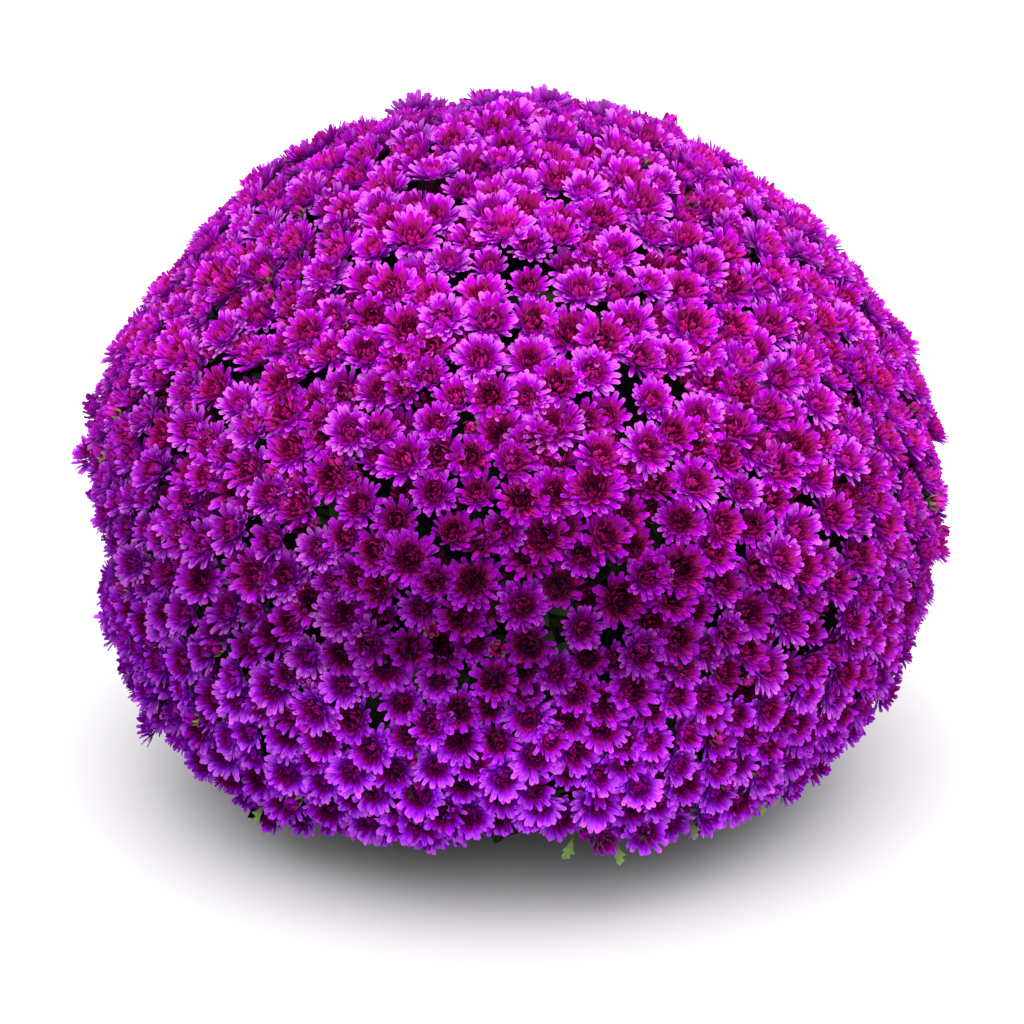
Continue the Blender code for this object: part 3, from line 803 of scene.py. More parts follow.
def stem_surface(settings):
    made = Surface("stem", {"Roughness": 0.6, "Specular IOR Level": 0.3})
    old = 1.0 - made.coordinate("Z").above(0.16, 0.24)
    drawn_out = {"Vector": made.place(), "Scale": (420.0, 420.0, 40.0)}
    streaks = made.noise(1.0, 3.0, made.node("ShaderNodeMapping", {}, drawn_out))
    aged = made.mixed(old, settings.stem, settings.bark)
    made.feed("Base Color", made.mixed(streaks * 0.7, aged, darker(settings.stem, 0.45)))
    made.bump(streaks, 0.0008, 0.7)
    return made.material


def plastic_surface(settings):
    made = Surface("pot_plastic", {"Specular IOR Level": 0.5})
    low = 1.0 - made.coordinate("Z").above(0.0, 0.05)
    grain = made.noise(1600.0, 2.0)
    smudge = made.noise(22.0, 4.0)
    splashed = low * 0.5 * smudge.above(0.40, 0.70) + smudge.above(0.58, 0.80) * 0.12
    made.feed("Base Color", made.mixed(splashed, settings.plastic, settings.dust))
    made.feed("Roughness", 0.38 + 0.16 * grain + 0.3 * splashed)
    made.bump(grain, 0.00025, 0.5)
    return made.material


def soil_surface(settings):
    made = Surface("soil", {"Roughness": 0.95, "Specular IOR Level": 0.15})
    fine = made.noise(420.0, 4.0)
    crumbs = made.node("ShaderNodeTexVoronoi", {}, {"Vector": made.place(), "Scale": 260.0}, "Color")
    pick_one = made.node("ShaderNodeSeparateColor", {}, {"Color": crumbs}, "Red")
    dark = made.mixed(fine * 0.6, settings.soil, darker(settings.soil, 0.4))
    made.feed("Base Color", made.mixed(pick_one.above(0.70, 0.90) * 0.7, dark, settings.crumb))
    made.bump(fine + pick_one * 0.8, 0.0020, 1.0)
    return made.material


def floor_surface(settings):
    made = Surface("floor", {"Roughness": 0.9, "Specular IOR Level": 0.05})
    grain = made.noise(30.0, 3.0)
    made.feed("Base Color", made.mixed(grain * 0.02, settings.floor, darker(settings.floor, 0.96)))
    return made.material


# The ball and the places of the blooms on it


def around(radius, azimuth, height):
    """A point at this azimuth, which is 0 at the front and grows to the right."""
    return Vector((radius * math.sin(azimuth), -radius * math.cos(azimuth), height))


class Ball:
    """The outline of the ball of blooms, turned about the plant's axis."""

    def __init__(self, settings):
        self.settings = settings
        self.points = [self.outline_point(math.radians(degrees)) for degrees in range(GUIDE_ANGLE + 1)]
        self.areas = [0.0]
        for (ra, za), (rb, zb) in zip(self.points, self.points[1:]):
            self.areas.append(self.areas[-1] + math.pi * (ra + rb) * math.hypot(rb - ra, zb - za))
        self.swells = []
        for degrees, height, width, tallness, outward, upward in SWELLS:
            radius, _ = min(self.points, key=lambda point: abs(point[1] - height))
            scale = Vector((1 / width, 1 / width, 1 / tallness))
            self.swells.append((around(radius, math.radians(degrees), height), scale, outward, upward))

    def outline_point(self, angle):
        """Radius and height at an angle down from the top."""
        ball = self.settings
        fall = ball.rise if angle < math.pi / 2 else ball.drop
        slim = 1.0 - SHOULDER_SLIMMING * math.sin(2 * angle) ** 2 if angle < math.pi / 2 else 1.0
        return ball.radius * math.sin(angle) * slim, ball.widest + fall * math.cos(angle) * slim

    def outline_at(self, area):
        """Radius, height and outward normal where the turned area reaches this value."""
        i = 1
        while i < len(self.areas) - 1 and self.areas[i] < area:
            i += 1
        share = (area - self.areas[i - 1]) / (self.areas[i] - self.areas[i - 1])
        (ra, za), (rb, zb) = self.points[i - 1], self.points[i]
        along = Vector((rb - ra, zb - za)).normalized()
        return ra + share * (rb - ra), za + share * (zb - za), Vector((-along.y, along.x))

    def site_at(self, area, azimuth, lift):
        radius, height, normal = self.outline_at(area)
        facing = around(normal.x, azimuth, normal.y)
        tucked = HEM_TUCK * max(0.0, HEM_TOP - height)
        place = around(radius + tucked, azimuth, height + tucked)
        for centre, scale, outward, upward in self.swells:
            share = math.exp(-((place - centre) * scale).length_squared)
            place = place + share * (outward * around(1.0, azimuth, 0.0) + upward * UP)
        return place + lift * facing, facing

    def open_sites(self):
        """Place and outward normal of each open bloom, by the spiral and the scatter of the model."""
        each = self.areas[HEM_ANGLE] / self.settings.blooms
        spacing = math.sqrt(each)
        scatter = BLOOM_SCATTER * spacing
        draw = random.Random(PLACE_SEED)
        sites = []
        for k in range(self.settings.blooms):
            radius, _, _ = self.outline_at((k + 0.5) * each)
            shift = draw.uniform(-scatter, scatter)
            area = (k + 0.5) * each + 2 * math.pi * max(radius, spacing / 2) * shift
            area = min(max(area, 0.1 * each), self.areas[-1])
            radius, _, _ = self.outline_at(area)
            azimuth = k * GOLDEN_ANGLE + draw.uniform(-scatter, scatter) / max(radius, spacing)
            sites.append(self.site_at(area, azimuth, draw.uniform(-BLOOM_UNEVENNESS, BLOOM_UNEVENNESS)))
        return sites

    def filler_sites(self, taken, fill):
        """Places between those taken: of a few thrown at random, the one with the most room is kept."""
        draw = random.Random(fill.seed)
        places = np.array([place for place, _ in taken])
        sites = []
        for _ in range(getattr(self.settings, fill.most)):
            thrown = []
            for _ in range(fill.tries):
                area = draw.uniform(0.0, self.areas[HEM_ANGLE + FILLER_MARGIN])
                thrown.append(self.site_at(area, draw.uniform(0, 2 * math.pi), draw.uniform(*fill.lift)))
            spots = np.array([place for place, _ in thrown])
            room = np.linalg.norm(places[None] - spots[:, None], axis=2).min(axis=1)
            best = int(room.argmax())
            if room[best] > fill.room:
                places = np.vstack([places, spots[best]])
                sites.append(thrown[best])
        return sites

    def spray_centres(self):
        centres = [("top", Vector((0, 0, self.outline_point(0.0)[1])))]
        for ring, (name, down, count) in enumerate(SPRAY_RINGS):
            radius, height = self.outline_point(math.radians(down))
            for i in range(count):
                azimuth = 2 * math.pi * (i + 0.5 * (ring % 2)) / count
                centres.append((f"{name}_{i + 1}", around(radius, azimuth, height)))
        return centres


# Blooms


def petal_sheet(ring, raised, scale):
    """One petal of a ring, which grows out along +Y and is cupped upwards, with its tones and its brightness,
    a painted shade that darkens it towards the root.
    """
    deselect_all()
    length, width = scale * ring.length, scale * ring.width
    rise = ring.rise + raised
    steps = len(ring.outline) - 1
    bpy.ops.mesh.primitive_grid_add(x_subdivisions=2, y_subdivisions=steps, size=1.0)
    petal = bpy.context.object
    flat = read_places(petal.data)
    along = flat[:, 1] + 0.5
    edge = np.abs(flat[:, 0]) * 2
    tone = ring.root_tone + (ring.tip_tone - ring.root_tone) * along**TONE_POWER + ring.edge * edge * along
    write_values(petal.data, "tone", tone)
    # The light attribute paints the shade between the rings: dark at the root, full at the tip
    root_light = ROOT_LIGHT + HEART_LIGHT * (1.0 - ring.tip_tone)
    growth = along**LIGHT_POWER * (1.0 - MIDDLE_LOSS + MIDDLE_LOSS * edge)
    write_values(petal.data, "light", root_light + (1.0 - root_light) * growth)
    start_edit(petal)
    bpy.ops.transform.translate(value=(0, 0.5, 0))
    y = z = 0.0
    for i, half in enumerate(ring.outline):
        row = i / steps
        pick(petal, lambda place: abs(place.y - row) < TOUCH)
        if i:
            angle = math.radians(rise + ring.curl * (i - 0.5) / steps)
            y += length / steps * math.cos(angle)
            z += length / steps * math.sin(angle)
        bpy.ops.transform.resize(value=(2 * half * width, 1, 1), center_override=(0, 0, 0))
        lean = math.radians(rise + ring.curl * i / steps)
        cup = half * width * PETAL_CUP
        sag = Vector((0, math.sin(lean) * cup, -math.cos(lean) * cup))
        if i == steps:
            sag += PETAL_TIP * length * Vector((0, math.cos(lean), math.sin(lean)))
        bpy.ops.transform.translate(value=(0, y - row, z))
        middle = Vector((0, y, z))
        pick(petal, lambda place: (place - middle).length < TOUCH)
        bpy.ops.transform.translate(value=sag)
    pick(petal, lambda place: place.length < TOUCH)
    bpy.ops.mesh.merge(type="CENTER")
    end_edit()
    return petal


def model_bloom(name, rings, raised, scale, seed, finishes, stalk):
    """A double bloom on its stalk, base at the origin and facing +Z."""
    draw = random.Random(seed)
    parts = []
    for number, ring in enumerate(rings):
        petal = petal_sheet(ring, raised, scale)
        dress(petal, finishes["petal"])
        tones = read_values(petal.data, "tone")
        lights = read_values(petal.data, "light")
        root = Matrix.Translation((0, scale * ring.root, scale * (ROOT_HEIGHT + RING_STEP * number)))
        for i in range(ring.petals):
            step = i + 0.5 * (number % 2) + draw.uniform(-PETAL_SWING, PETAL_SWING)
            matrix = Matrix.Rotation(2 * math.pi * step / ring.petals, 4, "Z") @ root
            for axis, most in PETAL_TURNS:
                matrix = matrix @ Matrix.Rotation(math.radians(draw.uniform(-most, most)), 4, axis)
            part = copy_of(petal, matrix @ Matrix.Scale(draw.uniform(*PETAL_SIZES), 4))
            write_values(part.data, "tone", tones + draw.uniform(*PETAL_TONES))
            write_values(part.data, "light", lights * draw.uniform(*PETAL_LIGHTS))
            parts.append(part)
        discard([petal])
    if rings is BUD_RINGS:
        parts.extend(model_bracts(scale, finishes, draw))
    parts.append(model_calyx(scale, stalk, finishes, draw))
    bloom = joined(name, parts)
    shade_smooth(bloom)
    return bloom


def model_bracts(scale, finishes, draw):
    """The pointed green bracts around the foot of a bud."""
    ring = BRACT_RING
    bract = petal_sheet(ring, 0.0, scale)
    dress(bract, finishes["bract"])
    root = Matrix.Translation((0, scale * ring.root, scale * BRACT_HEIGHT))
    bracts = []
    for i in range(ring.petals):
        step = i + draw.uniform(-BRACT_SWING, BRACT_SWING)
        matrix = Matrix.Rotation(2 * math.pi * step / ring.petals, 4, "Z") @ root
        part = copy_of(bract, matrix @ Matrix.Scale(draw.uniform(*BRACT_SIZES), 4))
        fill_values(part.data, "light", 1.0)
        bracts.append(part)
    discard([bract])
    return bracts


def model_calyx(scale, stalk, finishes, draw):
    """The green cup under a bloom, drawn out into its stalk."""
    depth = scale * CALYX_DEPTH
    low = scale * ROOT_HEIGHT - depth
    deselect_all()
    bpy.ops.mesh.primitive_cone_add(
        vertices=CALYX_SIDES, radius1=STALK_RADIUS, radius2=scale * CALYX_RADIUS, depth=depth,
        location=(0, 0, low + depth / 2),
    )
    calyx = bpy.context.object
    bpy.ops.object.transform_apply(location=True)
    start_edit(calyx)
    calyx.data.materials.append(finishes["stem"])
    calyx.data.materials.append(finishes["petal"])
    pick(calyx, lambda place: place.z > low + TOUCH)
    calyx.active_material_index = 1
    bpy.ops.object.material_slot_assign()
    pick(calyx, lambda place: place.z < low + TOUCH)
    sway = [draw.uniform(-STALK_SWAY, STALK_SWAY) for _ in range(2)]
    bpy.ops.mesh.extrude_region_move(TRANSFORM_OT_translate={"value": (*sway, -stalk)})
    end_edit()
    fill_values(calyx.data, "light", 1.0)
    return calyx


def placed_bloom(model, place, axis, size, tone_shift, brightness, draw):
    """A copy of a bloom at its place, a little fresher or more faded than the model, its brightness scaled by
    painted light and shade.
    """
    stand = Matrix.Translation(place) @ axis.to_track_quat("Z", "Y").to_matrix().to_4x4()
    turn = Matrix.Rotation(draw.uniform(0, 2 * math.pi), 4, "Z")
    made = copy_of(model, stand @ turn @ Matrix.Scale(size, 4))
    write_values(made.data, "tone", read_values(made.data, "tone") + tone_shift)
    write_values(made.data, "light", read_values(made.data, "light") * brightness)
    return made


def bloom_axis(facing, settings, draw):
    """The way that a bloom faces, which follows the slope of the ball in part and wobbles."""
    azimuth = math.atan2(facing.x, -facing.y)
    rise = settings.rise + settings.follow * math.asin(facing.z)
    swing = Vector([draw.gauss(0, settings.wobble) for _ in range(3)])
    return (around(math.cos(rise), azimuth, math.sin(rise)) + swing).normalized()


def painted_light_at(facing):
    """The painted light and shade of the blooms that face this way: brighter facing up and to the right,
    darker at the sides, with painted floor light on those that face the front and down.
    """
    upward, downward = max(0.0, facing.z), max(0.0, -facing.z)
    lean = max(-1.0, min(1.0, 2.0 * facing.x))
    bright = FRONT_LIGHT + RIGHT_LIGHT * lean - SIDE_LOSS * abs(lean)
    halfway = upward**2 * (1.0 - upward) * (1.0 - SLOPE_LOSS * abs(facing.x))
    bright += UPWARD_LIGHT * upward + SLOPE_LIGHT * halfway
    return bright + FLOOR_LIGHT * max(0.0, -facing.y) ** 3 * downward * (1.0 - downward)


class CHRYSANTHEMUM_OT_bloom_sprays(Operator):
    """Model the blooms, half-open blooms and buds of every spray"""

    bl_idname = "chrysanthemum.bloom_sprays"
    bl_label = "Bloom Sprays"

    def execute(self, context):
        ball = Ball(context.scene.mum_ball)
        bloom = context.scene.mum_bloom
        leaf = context.scene.mum_leaf
        finishes = {"petal": petal_surface(bloom), "stem": stem_surface(leaf), "bract": bract_surface(leaf)}
        models = {
            kind: [
                model_bloom(f"{kind}_{i}", rings, raised, scale, seed + i, finishes, bloom.stalk)
                for i, (raised, scale) in enumerate(sizes)
            ]
            for kind, (rings, seed, sizes) in KINDS.items()
        }
        draw = random.Random(BLOOM_SEED)
        centres = ball.spray_centres()
        groups = {name: [] for name, _ in centres}

        def give(kind, sites, share, tones):
            """Hands each bloom to its spray. Those that face up sit higher."""
            for place, facing in sites:
                name, _ = min(centres, key=lambda entry: (entry[1] - place).length)
                sink = share * (bloom.sink - UPWARD_LIFT * facing.z)
                groups[name].append((models[kind], place - sink * facing, facing, tones))

        taken = ball.open_sites()
        give("open", taken, 1.0, OPEN_TONES)
        for fill in FILLS:
            found = ball.filler_sites(taken, fill)
            give(fill.kind, found, fill.sink, fill.tones)
            taken = taken + found
        for kind, place, axis in LOOSE_BLOOMS:
            give(kind, [(Vector(place), Vector(axis).normalized())], 0.0, LOOSE_TONES)
        azimuth, height, reach, young_tone, young_light = YOUNG_PATCH
        young_middle = around(ball.settings.radius, math.radians(azimuth), height)
        for name, members in groups.items():
            parts = []
            for kind, place, facing, tones in members:
                axis = bloom_axis(facing, bloom, draw)
                young = math.exp(-((place - young_middle).length / reach) ** 2)
                tone = draw.uniform(*tones) + UPWARD_TONE * facing.z + young * young_tone
                # Random brightness times the painted light and shade for the way that the bloom faces; the
                # young patch is darker
                bright = draw.uniform(*BLOOM_LIGHTS) * (painted_light_at(facing) + young * young_light)
                model = draw.choice(kind)
                size = draw.uniform(*BLOOM_SIZES) * (1 + UPWARD_GROWTH * max(0.0, facing.z))
                parts.append(placed_bloom(model, place, axis, size, tone, bright, draw))
            spray = joined(f"blooms_{name}", parts)
            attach(spray, "root")
            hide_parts(f"bloom_spray_{name}")
        for kind in models.values():
            discard(kind)
        return {"FINISHED"}


# Leaves and stems


def leaf_sheet(name, outline, length, droop, cup):
    """A lobed leaf that grows along +Y, face up, on a short stalk."""
    deselect_all()
    steps = len(outline) - 1
    bpy.ops.mesh.primitive_grid_add(x_subdivisions=2, y_subdivisions=steps, size=1.0)
    leaf = named(name)
    start_edit(leaf)
    bpy.ops.transform.translate(value=(0, 0.5, 0))
    for i, (half, forward) in enumerate(outline):
        share = i / steps
        pick(leaf, lambda place: abs(place.y - share) < TOUCH)
        bpy.ops.transform.resize(value=(2 * half * LEAF_WIDTH * length, 1, 1), center_override=(0, 0, 0))
        sag = -droop * length * share**2
        bpy.ops.transform.translate(value=(0, share * length - share, sag))
        row = share * length
        pick(leaf, lambda place: abs(place.y - row) < TOUCH and abs(place.x) > TOUCH)
        bpy.ops.transform.translate(value=(0, forward * length, half * cup * length))
    end_edit()
    shade_smooth(leaf)
    return leaf


def leaf_matrix(place, direction, upward, size):
    """Stands a leaf at its place, its tip towards direction and its face towards upward."""
    along = direction.normalized()
    across = along.cross(upward).normalized()
    face = across.cross(along)
    turn = Matrix((across, along, face)).transposed().to_4x4()
    return Matrix.Translation(place) @ turn @ Matrix.Scale(size, 4)


def random_unit(draw):
    return Vector([draw.gauss(0, 1) for _ in range(3)]).normalized()


def stem_paths(number, served, sites):
    """Trunk, branches and twigs of one stem, as paths of places and radii."""
    azimuth = STEM_TURN + 2 * math.pi * number / STEMS
    draw = random.Random(TWIG_SEED + number)
    foot = around(STEM_CIRCLE, azimuth, STEM_FOOT)
    knee = around(STEM_CIRCLE, azimuth, STEM_KNEE)
    fork = around(FORK_CIRCLE, azimuth, FORK_HEIGHT)
    paths = [tapered(bend([foot, knee, fork], 3), *TRUNK_RADII)]
    start = fork - BRANCH_SINK * UP
    for centre in served:
        seat = fork + (centre - fork) * (1 - BRANCH_GAP / (centre - fork).length)
        bow = BRANCH_BOW * (seat - fork).length
        middle = fork + 0.5 * (seat - fork) + around(bow, azimuth, bow)
        branch = bend([start, middle, seat], 4)
        paths.append(tapered(branch, *BRANCH_RADII))
        twigs, most = TWIGS
        near = sorted(sites, key=lambda site: (site[0] - centre).length)[:most]
        for place, facing in draw.sample(near, twigs):
            first = branch[draw.randrange(2, len(branch) - 2)]
            end = place - TWIG_DEPTH * facing
            middle = (first + end) / 2 + TWIG_BOW * random_unit(draw)
            paths.append(tapered(bend([first, middle, end], 3), *TWIG_RADII))
    for turn in TWIG_TURNS:
        twig = bend([start, *(around(radius, azimuth + turn, height) for radius, height in HEM_TWIG)], 4)
        paths.append(tapered(twig, *HEM_TWIG_RADII))
    return paths


class CHRYSANTHEMUM_OT_leafy_stems(Operator):
    """Model the stems with their branches, twigs and lobed leaves"""

    bl_idname = "chrysanthemum.leafy_stems"
    bl_label = "Leafy Stems"

    def execute(self, context):
        ball = Ball(context.scene.mum_ball)
        leaf = context.scene.mum_leaf
        leaf_finish = leaf_surface(leaf)
        stem_finish = bpy.data.materials["stem"]
        draw = random.Random(LEAF_SEED)
        models = [leaf_sheet("leaf", LEAF_OUTLINE, leaf.length, *shape) for shape in LEAF_BENDS]
        young = leaf_sheet("young_leaf", YOUNG_LEAF_OUTLINE, leaf.length, *YOUNG_LEAF_BEND)
        for model in (*models, young):
            dress(model, leaf_finish)
        rows = read_places(young.data)[:, 1] / leaf.length
        groups = [[] for _ in range(STEMS)]
        area = ball.areas[HEM_ANGLE + LEAF_MARGIN]
        sites = ball.open_sites()

        def give(part, place):
            """Hands a leaf to the nearest stem."""
            turn = (math.atan2(place[0], -place[1]) - STEM_TURN) / (2 * math.pi / STEMS)
            groups[round(turn) % STEMS].append(part)

        for k in range(leaf.count):
            azimuth = k * GOLDEN_ANGLE + draw.uniform(-LEAF_SCATTER, LEAF_SCATTER)
            deep = k % DEEP_EVERY == 0
            depth = draw.uniform(*(DEEP_LAYER if deep else LEAF_LAYER))
            place, facing = ball.site_at(area * (k + 0.5) / leaf.count, azimuth, -depth)
            direction = random_unit(draw) + LEAF_UPRIGHTNESS * UP * draw.uniform(-1, 1)
            direction = direction - LEAF_FLATNESS * direction.dot(facing) * facing
            face = facing + LEAF_TILT * random_unit(draw)
            base = place - 0.5 * leaf.length * direction.normalized()
            model = draw.choice(models)
            size = draw.uniform(*LEAF_SIZES) * (DEEP_LEAF if deep else 1.0)
            part = copy_of(model, leaf_matrix(base, direction, face, size))
            fill_values(part.data, "tone", LEAF_TONE * draw.random() ** 3)
            give(part, place)
        centres = dict(ball.spray_centres())
        for place, direction, length in LOOSE_LEAVES:
            out = Vector((place[0], place[1], 0.0))
            face = out + LOOSE_LEAF_TILT * UP * out.length
            part = copy_of(young, leaf_matrix(Vector(place), Vector(direction), face, length / leaf.length))
            root, tip = [draw.uniform(*tones) for tones in LOOSE_LEAF_TONES]
            write_values(part.data, "tone", root + (tip - root) * rows)
            give(part, place)
        for number in range(STEMS):
            azimuth = STEM_TURN + 2 * math.pi * number / STEMS
            names = [f"{ring}_{number + 1}" for ring, _, _ in SPRAY_RINGS]
            served = [centres.get(name, centres["top"]) for name in names]
            wood = tubes(f"wood_{number + 1}", stem_paths(number, served, sites), 8)
            dress(wood, stem_finish)
            for turn in TWIG_TURNS:
                end = around(HEM_TWIG[-1][0], azimuth + turn, HEM_TWIG[-1][1])
                for swing in TWIG_LEAF_SPREAD:
                    slope = math.radians(draw.uniform(*TWIG_LEAF_SLOPES))
                    side = azimuth + turn + swing + draw.uniform(-TWIG_LEAF_SWING, TWIG_LEAF_SWING)
                    direction = around(math.cos(slope), side, math.sin(slope))
                    model = draw.choice(models)
                    part = copy_of(model, leaf_matrix(end, direction, UP, draw.uniform(*TWIG_LEAF_SIZES)))
                    fill_values(part.data, "tone", draw.uniform(*TWIG_LEAF_TONES))
                    groups[number].append(part)
            stem = joined(f"foliage_{number + 1}", [wood, *groups[number]])
            shade_smooth(stem)
            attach(stem, "root")
            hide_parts(f"leafy_stem_{number + 1}")
        discard([*models, young])
        return {"FINISHED"}


# Pot and soil


def wall_radius(pot, height):
    return pot.base + (pot.rim - pot.base) * height / pot.height


def arc(centre, radius, first, last, steps):
    """Points of a profile's rounding, between two angles in degrees."""
    angles = [math.radians(first + (last - first) * i / steps) for i in range(steps + 1)]
    return [(centre[0] + radius * math.cos(angle), centre[1] + radius * math.sin(angle)) for angle in angles]


class CHRYSANTHEMUM_OT_pot(Operator):
    """Model the moulded pot with its rolled rim, feet and drain holes"""

    bl_idname = "chrysanthemum.pot"
    bl_label = "Pot"

    def execute(self, context):
        pot = context.scene.mum_pot
        lip_low = pot.height - LIP_DEPTH
        lip_foot = wall_radius(pot, lip_low) + pot.lip
        lip = wall_radius(pot, pot.height) + pot.lip
        inside = wall_radius(pot, pot.height) - pot.wall
        floor = POT_RECESS + pot.wall
        profile = [
            *BOSS,
            (pot.base - FOOT_WIDTH, POT_RECESS),
            (pot.base - FOOT_WIDTH + FOOT_SLOPE, FOOT_EDGE),
            *arc((pot.base - EDGE_ROUND, EDGE_ROUND), EDGE_ROUND, -90, 0, 3),
            *((wall_radius(pot, row), row) for row in (*OUTSIDE_ROWS, lip_low)),
            *arc((lip_foot - EDGE_ROUND, lip_low + EDGE_ROUND), EDGE_ROUND, -90, 0, 3),
            *arc((lip - RIM_ROUND, pot.height - RIM_ROUND), RIM_ROUND, 0, 90, 4),
            *arc((inside + EDGE_ROUND, pot.height - EDGE_ROUND), EDGE_ROUND, 90, 180, 3),
            *((wall_radius(pot, row) - pot.wall, row) for row in (INSIDE_ROW, floor)),
            (0, floor),
        ]
        shell = turned("pot_shell", profile, POT_SIDES)
        for i in range(DRAINS):
            place = around(DRAIN_CIRCLE, DRAIN_TURN + 2 * math.pi * i / DRAINS, 0.005)
            deselect_all()
            bpy.ops.mesh.primitive_cylinder_add(vertices=24, radius=DRAIN_RADIUS, depth=0.02, location=place)
            hole = bpy.context.object
            modifier = shell.modifiers.new("drain", "BOOLEAN")
            modifier.object = hole
            modifier.operation = "DIFFERENCE"
            select(shell)
            bpy.ops.object.modifier_apply(modifier=modifier.name)
            discard([hole])
        dress(shell, plastic_surface(pot))
        select(shell)
        bpy.ops.object.shade_smooth_by_angle(angle=math.radians(35))
        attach(shell, "root")
        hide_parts("pot")
        return {"FINISHED"}


class CHRYSANTHEMUM_OT_soil(Operator):
    """Model the crumbly potting soil"""

    bl_idname = "chrysanthemum.soil"
    bl_label = "Soil"

    def execute(self, context):
        pot = context.scene.mum_pot
        gap = pot.wall + SOIL_GAP
        top = wall_radius(pot, pot.soil_top) - gap
        profile = [(0, SOIL_FOOT), (wall_radius(pot, SOIL_FOOT) - gap, SOIL_FOOT)]
        for i in range(SOIL_STEPS + 1):
            crown = SOIL_CROWN * math.sin(0.5 * math.pi * i / SOIL_STEPS)
            profile.append((top * (1 - i / SOIL_STEPS), pot.soil_top + crown))
        soil = turned("soil_bed", profile, SOIL_SIDES)
        start_edit(soil)
        loose = top - SOIL_EDGE
        pick(soil, lambda place: place.z > pot.soil_top - 0.001 and math.hypot(place.x, place.y) < loose)
        bpy.ops.transform.vertex_random(offset=SOIL_ROUGHNESS, uniform=0.3, normal=0.6, seed=4)
        end_edit()
        deselect_all()
        bpy.ops.mesh.primitive_ico_sphere_add(subdivisions=1, radius=CRUMB_RADIUS)
        crumb = bpy.context.object
        draw = random.Random(CRUMB_SEED)
        crumbs = []
        for _ in range(CRUMBS):
            radius = loose * math.sqrt(draw.random())
            height = pot.soil_top + CRUMB_RISE * (1 - radius / top) + CRUMB_HEIGHT
            place = around(radius, draw.uniform(0, 2 * math.pi), height)
            stretch = Matrix.Diagonal((*(draw.uniform(*span) for span in CRUMB_STRETCHES), 1))
            turn = Matrix.Rotation(draw.uniform(0, math.pi), 4, random_unit(draw))
            crumbs.append(copy_of(crumb, Matrix.Translation(place) @ turn @ stretch))
        discard([crumb])
        bed = joined("soil_bed", [soil, *crumbs])
        dress(bed, soil_surface(pot))
        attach(bed, "root")
        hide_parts("soil")
        return {"FINISHED"}


# Stage


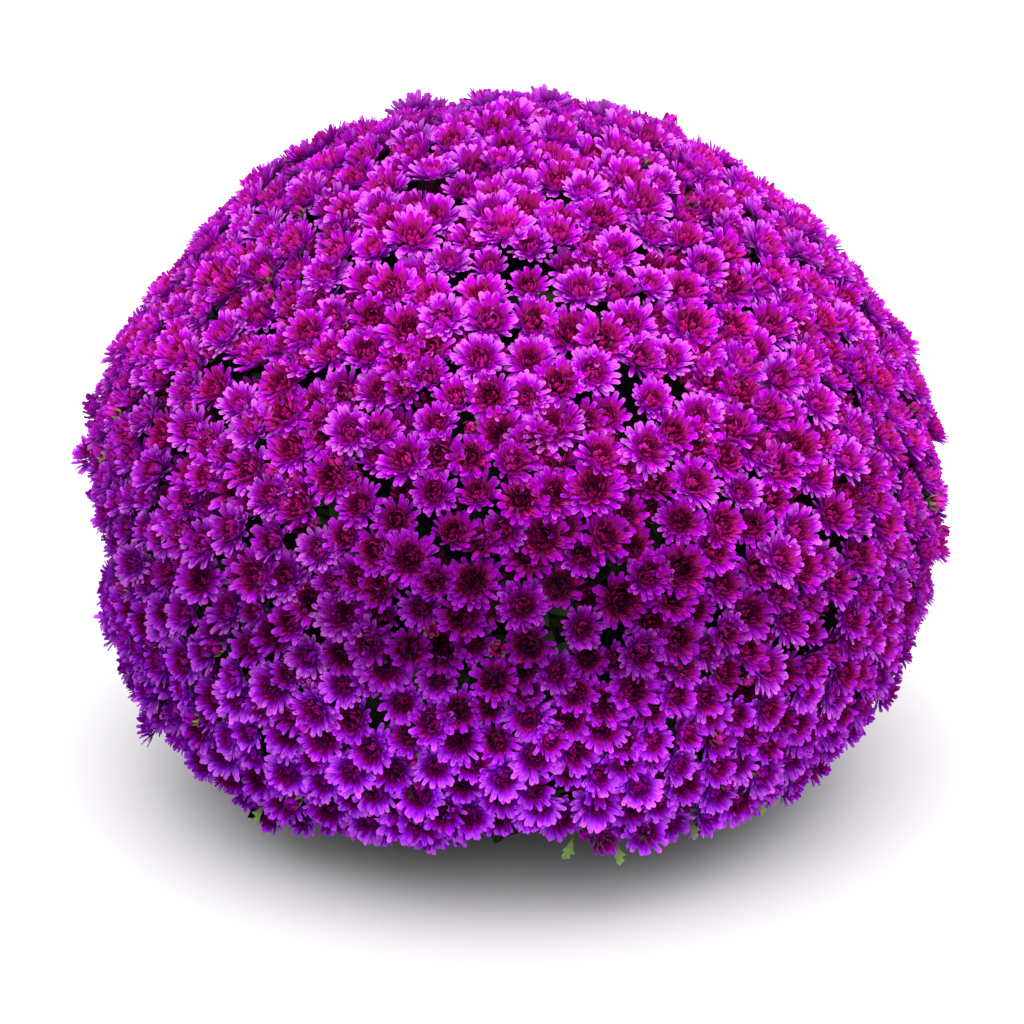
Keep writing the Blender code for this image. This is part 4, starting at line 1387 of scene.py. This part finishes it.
class CHRYSANTHEMUM_OT_stage(Operator):
    """Set the floor, the lights and the camera"""

    bl_idname = "chrysanthemum.stage"
    bl_label = "Floor, Lights and Camera"

    def execute(self, context):
        stage = context.scene.mum_stage
        ball = context.scene.mum_ball
        deselect_all()
        bpy.ops.mesh.primitive_plane_add(size=FLOOR_WIDTH)
        floor = named("floor")
        dress(floor, floor_surface(stage))
        world = bpy.data.worlds.new("sky")
        world.use_nodes = True
        backdrop = world.node_tree.nodes["Background"]
        backdrop.inputs["Color"].default_value = (*SKY_TINT, 1.0)
        self.brighten_overhead(world.node_tree, backdrop, stage.sky)
        context.scene.world = world
        context.scene.view_settings.view_transform = "Standard"
        bpy.ops.object.light_add(type="SUN", rotation=(*(math.radians(tilt) for tilt in KEY_TILT), 0))
        key = bpy.context.object.data
        key.energy = stage.sun
        key.angle = math.radians(KEY_WIDTH)
        middle = Vector((0, 0, ball.widest))
        back = Vector((0, -math.cos(stage.elevation), math.sin(stage.elevation)))
        place = middle + stage.distance * back
        bpy.ops.object.camera_add(location=place)
        camera = bpy.context.object
        camera.data.lens = stage.lens
        camera.data.sensor_width = FILM_WIDTH
        upward = Vector((0, math.sin(stage.elevation), math.cos(stage.elevation)))
        pixel = FILM_WIDTH / FILM_PIXELS / stage.lens * stage.distance
        left, over = SHIFT_IN_PICTURE
        aim = middle - over * pixel * upward + left * pixel * Vector((1, 0, 0))
        camera.rotation_euler = (aim - place).to_track_quat("-Z", "Y").to_euler()
        context.scene.camera = camera
        return {"FINISHED"}

    def brighten_overhead(self, tree, backdrop, strength):
        """Even light that is strongest overhead, as under a wide lamp."""
        direction = tree.nodes.new("ShaderNodeTexCoord").outputs["Generated"]
        height = tree.nodes.new("ShaderNodeSeparateXYZ")
        rise = tree.nodes.new("ShaderNodeMapRange")
        rise.inputs["To Min"].default_value = HORIZON_LIGHT * strength
        rise.inputs["To Max"].default_value = strength
        tree.links.new(direction, height.inputs[0])
        tree.links.new(height.outputs["Z"], rise.inputs["Value"])
        tree.links.new(rise.outputs["Result"], backdrop.inputs["Strength"])


class CHRYSANTHEMUM_PT_panel(Panel):
    """Sizes, colours and pieces of the pot chrysanthemum"""

    bl_label = "Pot Chrysanthemum"
    bl_idname = "CHRYSANTHEMUM_PT_panel"
    bl_space_type = "VIEW_3D"
    bl_region_type = "UI"
    bl_category = "Chrysanthemum"

    def draw(self, context):
        for name, _, operators in SECTIONS:
            settings = getattr(context.scene, name)
            box = self.layout.box()
            for entry in settings.bl_rna.properties:
                if entry.identifier not in ("rna_type", "name"):
                    box.prop(settings, entry.identifier)
            for operator in operators:
                box.operator(operator.bl_idname)


SECTIONS = (
    ("mum_ball", BallSettings, ()),
    ("mum_bloom", BloomSettings, (CHRYSANTHEMUM_OT_bloom_sprays,)),
    ("mum_leaf", LeafSettings, (CHRYSANTHEMUM_OT_leafy_stems,)),
    ("mum_pot", PotSettings, (CHRYSANTHEMUM_OT_pot, CHRYSANTHEMUM_OT_soil)),
    ("mum_stage", StageSettings, (CHRYSANTHEMUM_OT_stage,)),
)


def register():
    for name, settings, operators in SECTIONS:
        bpy.utils.register_class(settings)
        setattr(bpy.types.Scene, name, PointerProperty(type=settings))
        for operator in operators:
            bpy.utils.register_class(operator)
    bpy.utils.register_class(CHRYSANTHEMUM_PT_panel)


def unregister():
    bpy.utils.unregister_class(CHRYSANTHEMUM_PT_panel)
    for name, settings, operators in reversed(SECTIONS):
        for operator in operators:
            bpy.utils.unregister_class(operator)
        delattr(bpy.types.Scene, name)
        bpy.utils.unregister_class(settings)


def main():
    register()
    bpy.ops.chrysanthemum.bloom_sprays()
    bpy.ops.chrysanthemum.leafy_stems()
    bpy.ops.chrysanthemum.pot()
    bpy.ops.chrysanthemum.soil()
    bpy.ops.chrysanthemum.stage()


if __name__ == "__main__":
    main()
